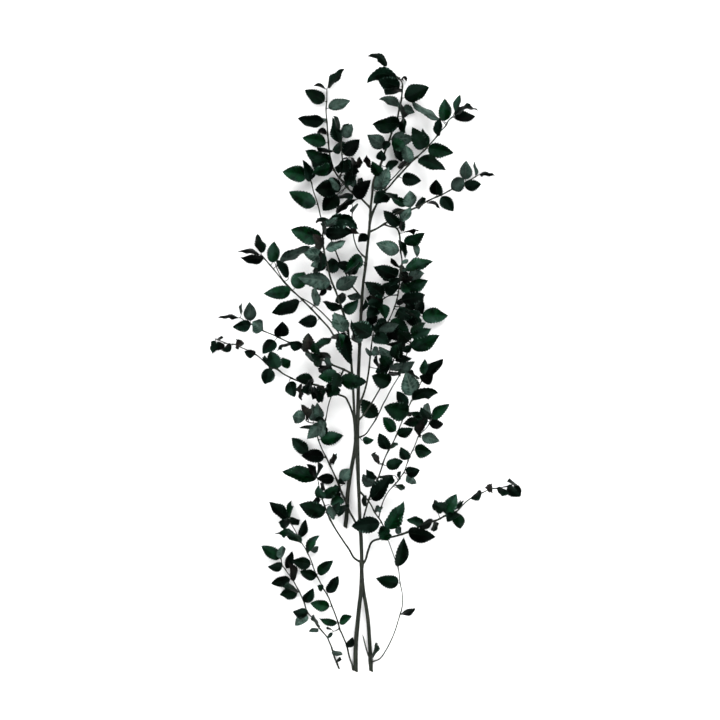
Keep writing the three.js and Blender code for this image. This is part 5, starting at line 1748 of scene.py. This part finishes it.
@dataclass
class Spray:
    """The whole spray: grows the wood, lets every leaf find its lie, and makes two pieces a stem."""

    stem_step: float = 27.0
    twig_step: float = 19.0
    loose_radius: float = 1.5
    thickest_twig: float = 0.85
    stem_sides: int = 14
    twig_sides: int = 9
    bark_thickness: float = 1.12
    node_reach: float = 2.6
    stem_swelling: float = 0.22
    twig_swelling: float = 0.4
    flare: float = 0.5
    flare_reach: float = 3.5
    bud_length: float = 3.0
    bud_narrowing: float = 0.45
    bud_point: float = 1.6
    bark_ridges: int = 5
    stem_ridge_height: float = 0.05
    twig_ridge_height: float = 0.03
    cut_slant: float = 0.5
    wood_crease: float = 50.0
    leaf_crease: float = 75.0
    chooser: LeafChooser = field(default_factory=LeafChooser)
    foliage: Foliage = field(default_factory=Foliage)
    finishes: Finishes = field(default_factory=Finishes)

    def twig_wood(self, twig: Branch, bearer: Wood) -> tuple[Wood, np.ndarray]:
        """A twig's wood.

        Its first point is the nearest place on its bearer. Its height goes evenly from there to its
        end by the length seen from above, plus the rise times 4 s (1 - s).

        Args:
            twig: The twig's table.
            bearer: The wood that bears it.

        Returns:
            Its wood and the place where it grows out.
        """
        start, _, share = bearer.nearest(*twig.path[0])
        flat = np.array(twig.path, dtype=float)
        flat[0] = start[:2]
        lengths = np.concatenate([[0.0], np.cumsum(np.linalg.norm(np.diff(flat, axis=0), axis=1))])
        way = lengths / lengths[-1]
        height = start[2] + (twig.end - start[2]) * way + twig.rise * 4 * way * (1 - way)
        route = np.column_stack([flat, height])
        thickest = self.thickest_twig * float(bearer.radius_at(share))
        radius = (min(twig.radius[0], thickest), min(twig.radius[1], thickest))
        shown = route.copy()
        shown[0] = bearer.shown[bearer.shown_near(start[None])[0]]
        return Wood(route, radius, self.twig_step, shown), start

    def grow(self, branch: Branch, wood: Wood) -> list[Shoot]:
        """A branch and all the twigs that it bears, each before its own twigs."""
        shoot = Shoot(branch, wood)
        shoots = [shoot]
        for twig in branch.twigs:
            twig_wood, start = self.twig_wood(twig, wood)
            shoot.nodes.append(start)
            shoots += self.grow(twig, twig_wood)
        return shoots

    def stem_shoots(self, stem: Branch) -> list[Shoot]:
        """All the shoots of one stem."""
        route = np.array(stem.route, dtype=float)
        step = self.twig_step if stem.radius[0] < self.loose_radius else self.stem_step
        return self.grow(stem, Wood(route, stem.radius, step, route))

    def wood_skin(self, shoot: Shoot, is_stem: bool) -> Skin:
        """The bark of one shoot.

        Its radius follows the taper, swells round each place where something grows out, flares where
        it leaves its bearer, and closes in a small bud at the tip.

        Args:
            shoot: The shoot.
            is_stem: Whether it starts with a cut foot of its own.

        Returns:
            Its closed skin.
        """
        wood = shoot.wood
        centres = wood.shown
        count = len(centres)
        share = np.linspace(0.0, 1.0, count)
        radii = wood.radius_at(share)
        along = np.concatenate([[0.0], np.cumsum(np.linalg.norm(np.diff(centres, axis=0), axis=1))])
        if shoot.nodes:
            places = along[wood.shown_near(np.array(shoot.nodes))]
            swelling = np.exp(-(((along[:, None] - places[None]) / self.node_reach) ** 2)).max(axis=1)
            radii = radii * (1.0 + (self.stem_swelling if is_stem else self.twig_swelling) * swelling)
        if not is_stem:
            radii = radii * (1.0 + self.flare * np.exp(-((along / self.flare_reach) ** 2)))
        bud = np.clip((along[-1] - along) / self.bud_length, 0.0, 1.0)
        radii = radii * (1 - self.bud_narrowing * (1 - bud**0.5)) * self.bark_thickness
        big = wood.radius[0] > self.loose_radius
        tube = Tube(
            sides=self.stem_sides if big else self.twig_sides,
            ridges=self.bark_ridges,
            ridge_height=self.stem_ridge_height if big else self.twig_ridge_height,
            foot_slant=self.cut_slant if is_stem else 0.0,
            cut_dress=1 if is_stem else 0,
        )
        return tube.skin(centres[None], radii[None], tip=self.bud_point)

    def build(self) -> None:
        """Makes and dresses every stem."""
        grown = [self.stem_shoots(stem) for stem in BUNCH]
        steps = self.chooser.room_steps
        self.chooser.taken = [shoot.wood.room(steps) for shoots in grown for shoot in shoots]
        laid: list[list[LaidLeaf]] = [[] for _ in BUNCH]
        number = 0
        for wanted in ("leaves", "filling"):
            for shoots, leaves in zip(grown, laid):
                for shoot in shoots:
                    for row in getattr(shoot.branch, wanted):
                        number += 1
                        lie = self.chooser.choose(row, shoot.wood, number)
                        root = shoot.wood.shown[shoot.wood.shown_near(lie.root)[0]]
                        shoot.nodes.append(root)
                        leaves.append(LaidLeaf(number, row.kind, lie, root))
        for stem, shoots, leaves in zip(BUNCH, grown, laid):
            self.stem_pieces(stem, shoots, leaves)

    def stem_pieces(self, stem: Branch, shoots: list[Shoot], laid: list[LaidLeaf]) -> None:
        """The wood and the leaves of one stem as two pieces that replace its node.

        Args:
            stem: The stem's table.
            shoots: Its shoots, the stem itself first.
            laid: Its leaves.
        """
        lie = Lie.gathered([leaf.lie for leaf in laid])
        kinds = [leaf.kind for leaf in laid]
        numbers = np.array([leaf.number for leaf in laid])
        roots = np.array([leaf.root for leaf in laid])
        barks = [self.wood_skin(shoot, shoot is shoots[0]) for shoot in shoots]
        leaves = [self.foliage.blades(lie, kinds, numbers), self.foliage.stalks(lie, kinds, roots)]
        bark = [self.finishes.stem, self.finishes.cut]
        made = [
            Skin.joined(barks).piece(f"{stem.name}_wood", bark, self.wood_crease),
            Skin.joined(leaves).piece(f"{stem.name}_leaves", self.finishes.foliage, self.leaf_crease),
        ]
        for piece in made:
            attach(piece, "root")
            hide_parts(stem.name)
            report.info("%s: %d faces, %d leaves", piece.name, len(piece.data.polygons), len(kinds))


# Studio


@dataclass
class Studio:
    """A pale table, soft light from all sides and a camera that looks straight down."""

    frame_width: float = 0.899
    frame_centre: tuple[float, float] = (-0.00745, 0.00354)
    frame_height: float = 0.02
    camera_height: float = 10.0
    sensor: float = 36.0
    table_half: float = 25.0
    sun_angle: float = 45.0
    sun_elevation: float = 50.0
    suns: tuple[tuple[float, float], ...] = ((160.0, 3.1), (240.0, 2.1), (60.0, 1.9), (320.0, 1.7))
    sky: float = 0.12
    table_tones: tuple[float, float] = (0.88, 0.91)
    table_roughness: float = 0.9
    table_scale: float = 3.0

    def table(self) -> None:
        """The pale table top, which isn't part of the spray."""
        mesh = bpy.data.meshes.new("table_top")
        h = self.table_half
        mesh.from_pydata([(-h, -h, 0), (h, -h, 0), (h, h, 0), (-h, h, 0)], [], [(0, 1, 2, 3)])
        material, graph = Graph.of_material("table_white")
        place = graph.node("ShaderNodeTexCoord").outputs["Object"]
        noise = graph.node("ShaderNodeTexNoise", {"Vector": place, "Scale": self.table_scale}).outputs[0]
        colour = graph.mix(noise, *((tone, tone, tone, 1) for tone in self.table_tones))
        sockets = {"Base Color": colour, "Roughness": self.table_roughness}
        shader = graph.node("ShaderNodeBsdfPrincipled", sockets)
        graph.node("ShaderNodeOutputMaterial", {"Surface": shader.outputs[0]})
        mesh.materials.append(material)
        placed("table_top", mesh)

    def lights(self) -> None:
        """Wide suns from all sides, the strongest from beyond the tips, and a dim even sky."""
        for turn, strength in self.suns:
            sun = bpy.data.lights.new(f"sun_{turn:.0f}", "SUN")
            sun.energy = strength
            sun.angle = math.radians(self.sun_angle)
            tilt = math.radians(90 - self.sun_elevation)
            placed(sun.name, sun).rotation_euler = (tilt, 0, math.radians(turn))
        world = bpy.data.worlds.new("studio")
        world.use_nodes = True
        sky = world.node_tree.nodes["Background"]
        sky.inputs["Color"].default_value = (1.0, 1.0, 1.0, 1.0)
        sky.inputs["Strength"].default_value = self.sky
        bpy.context.scene.world = world

    def camera(self) -> None:
        """The camera, whose frame is as wide as the photograph's at a low height over the table."""
        lens = bpy.data.cameras.new("camera")
        lens.sensor_width = self.sensor
        lens.lens = self.sensor * (self.camera_height - self.frame_height) / self.frame_width
        lens.clip_start, lens.clip_end = 0.1, 100.0
        camera = placed("camera", lens)
        camera.location = (*self.frame_centre, self.camera_height)
        bpy.context.scene.camera = camera

    def build(self) -> None:
        """Sets up the studio, with tones shown as they are."""
        self.table()
        self.lights()
        self.camera()
        bpy.context.scene.view_settings.view_transform = "Standard"


def main() -> None:
    """Builds the spray and the studio."""
    Studio().build()
    Spray().build()
    bpy.context.view_layer.update()


if __name__ == "__main__":
    main()
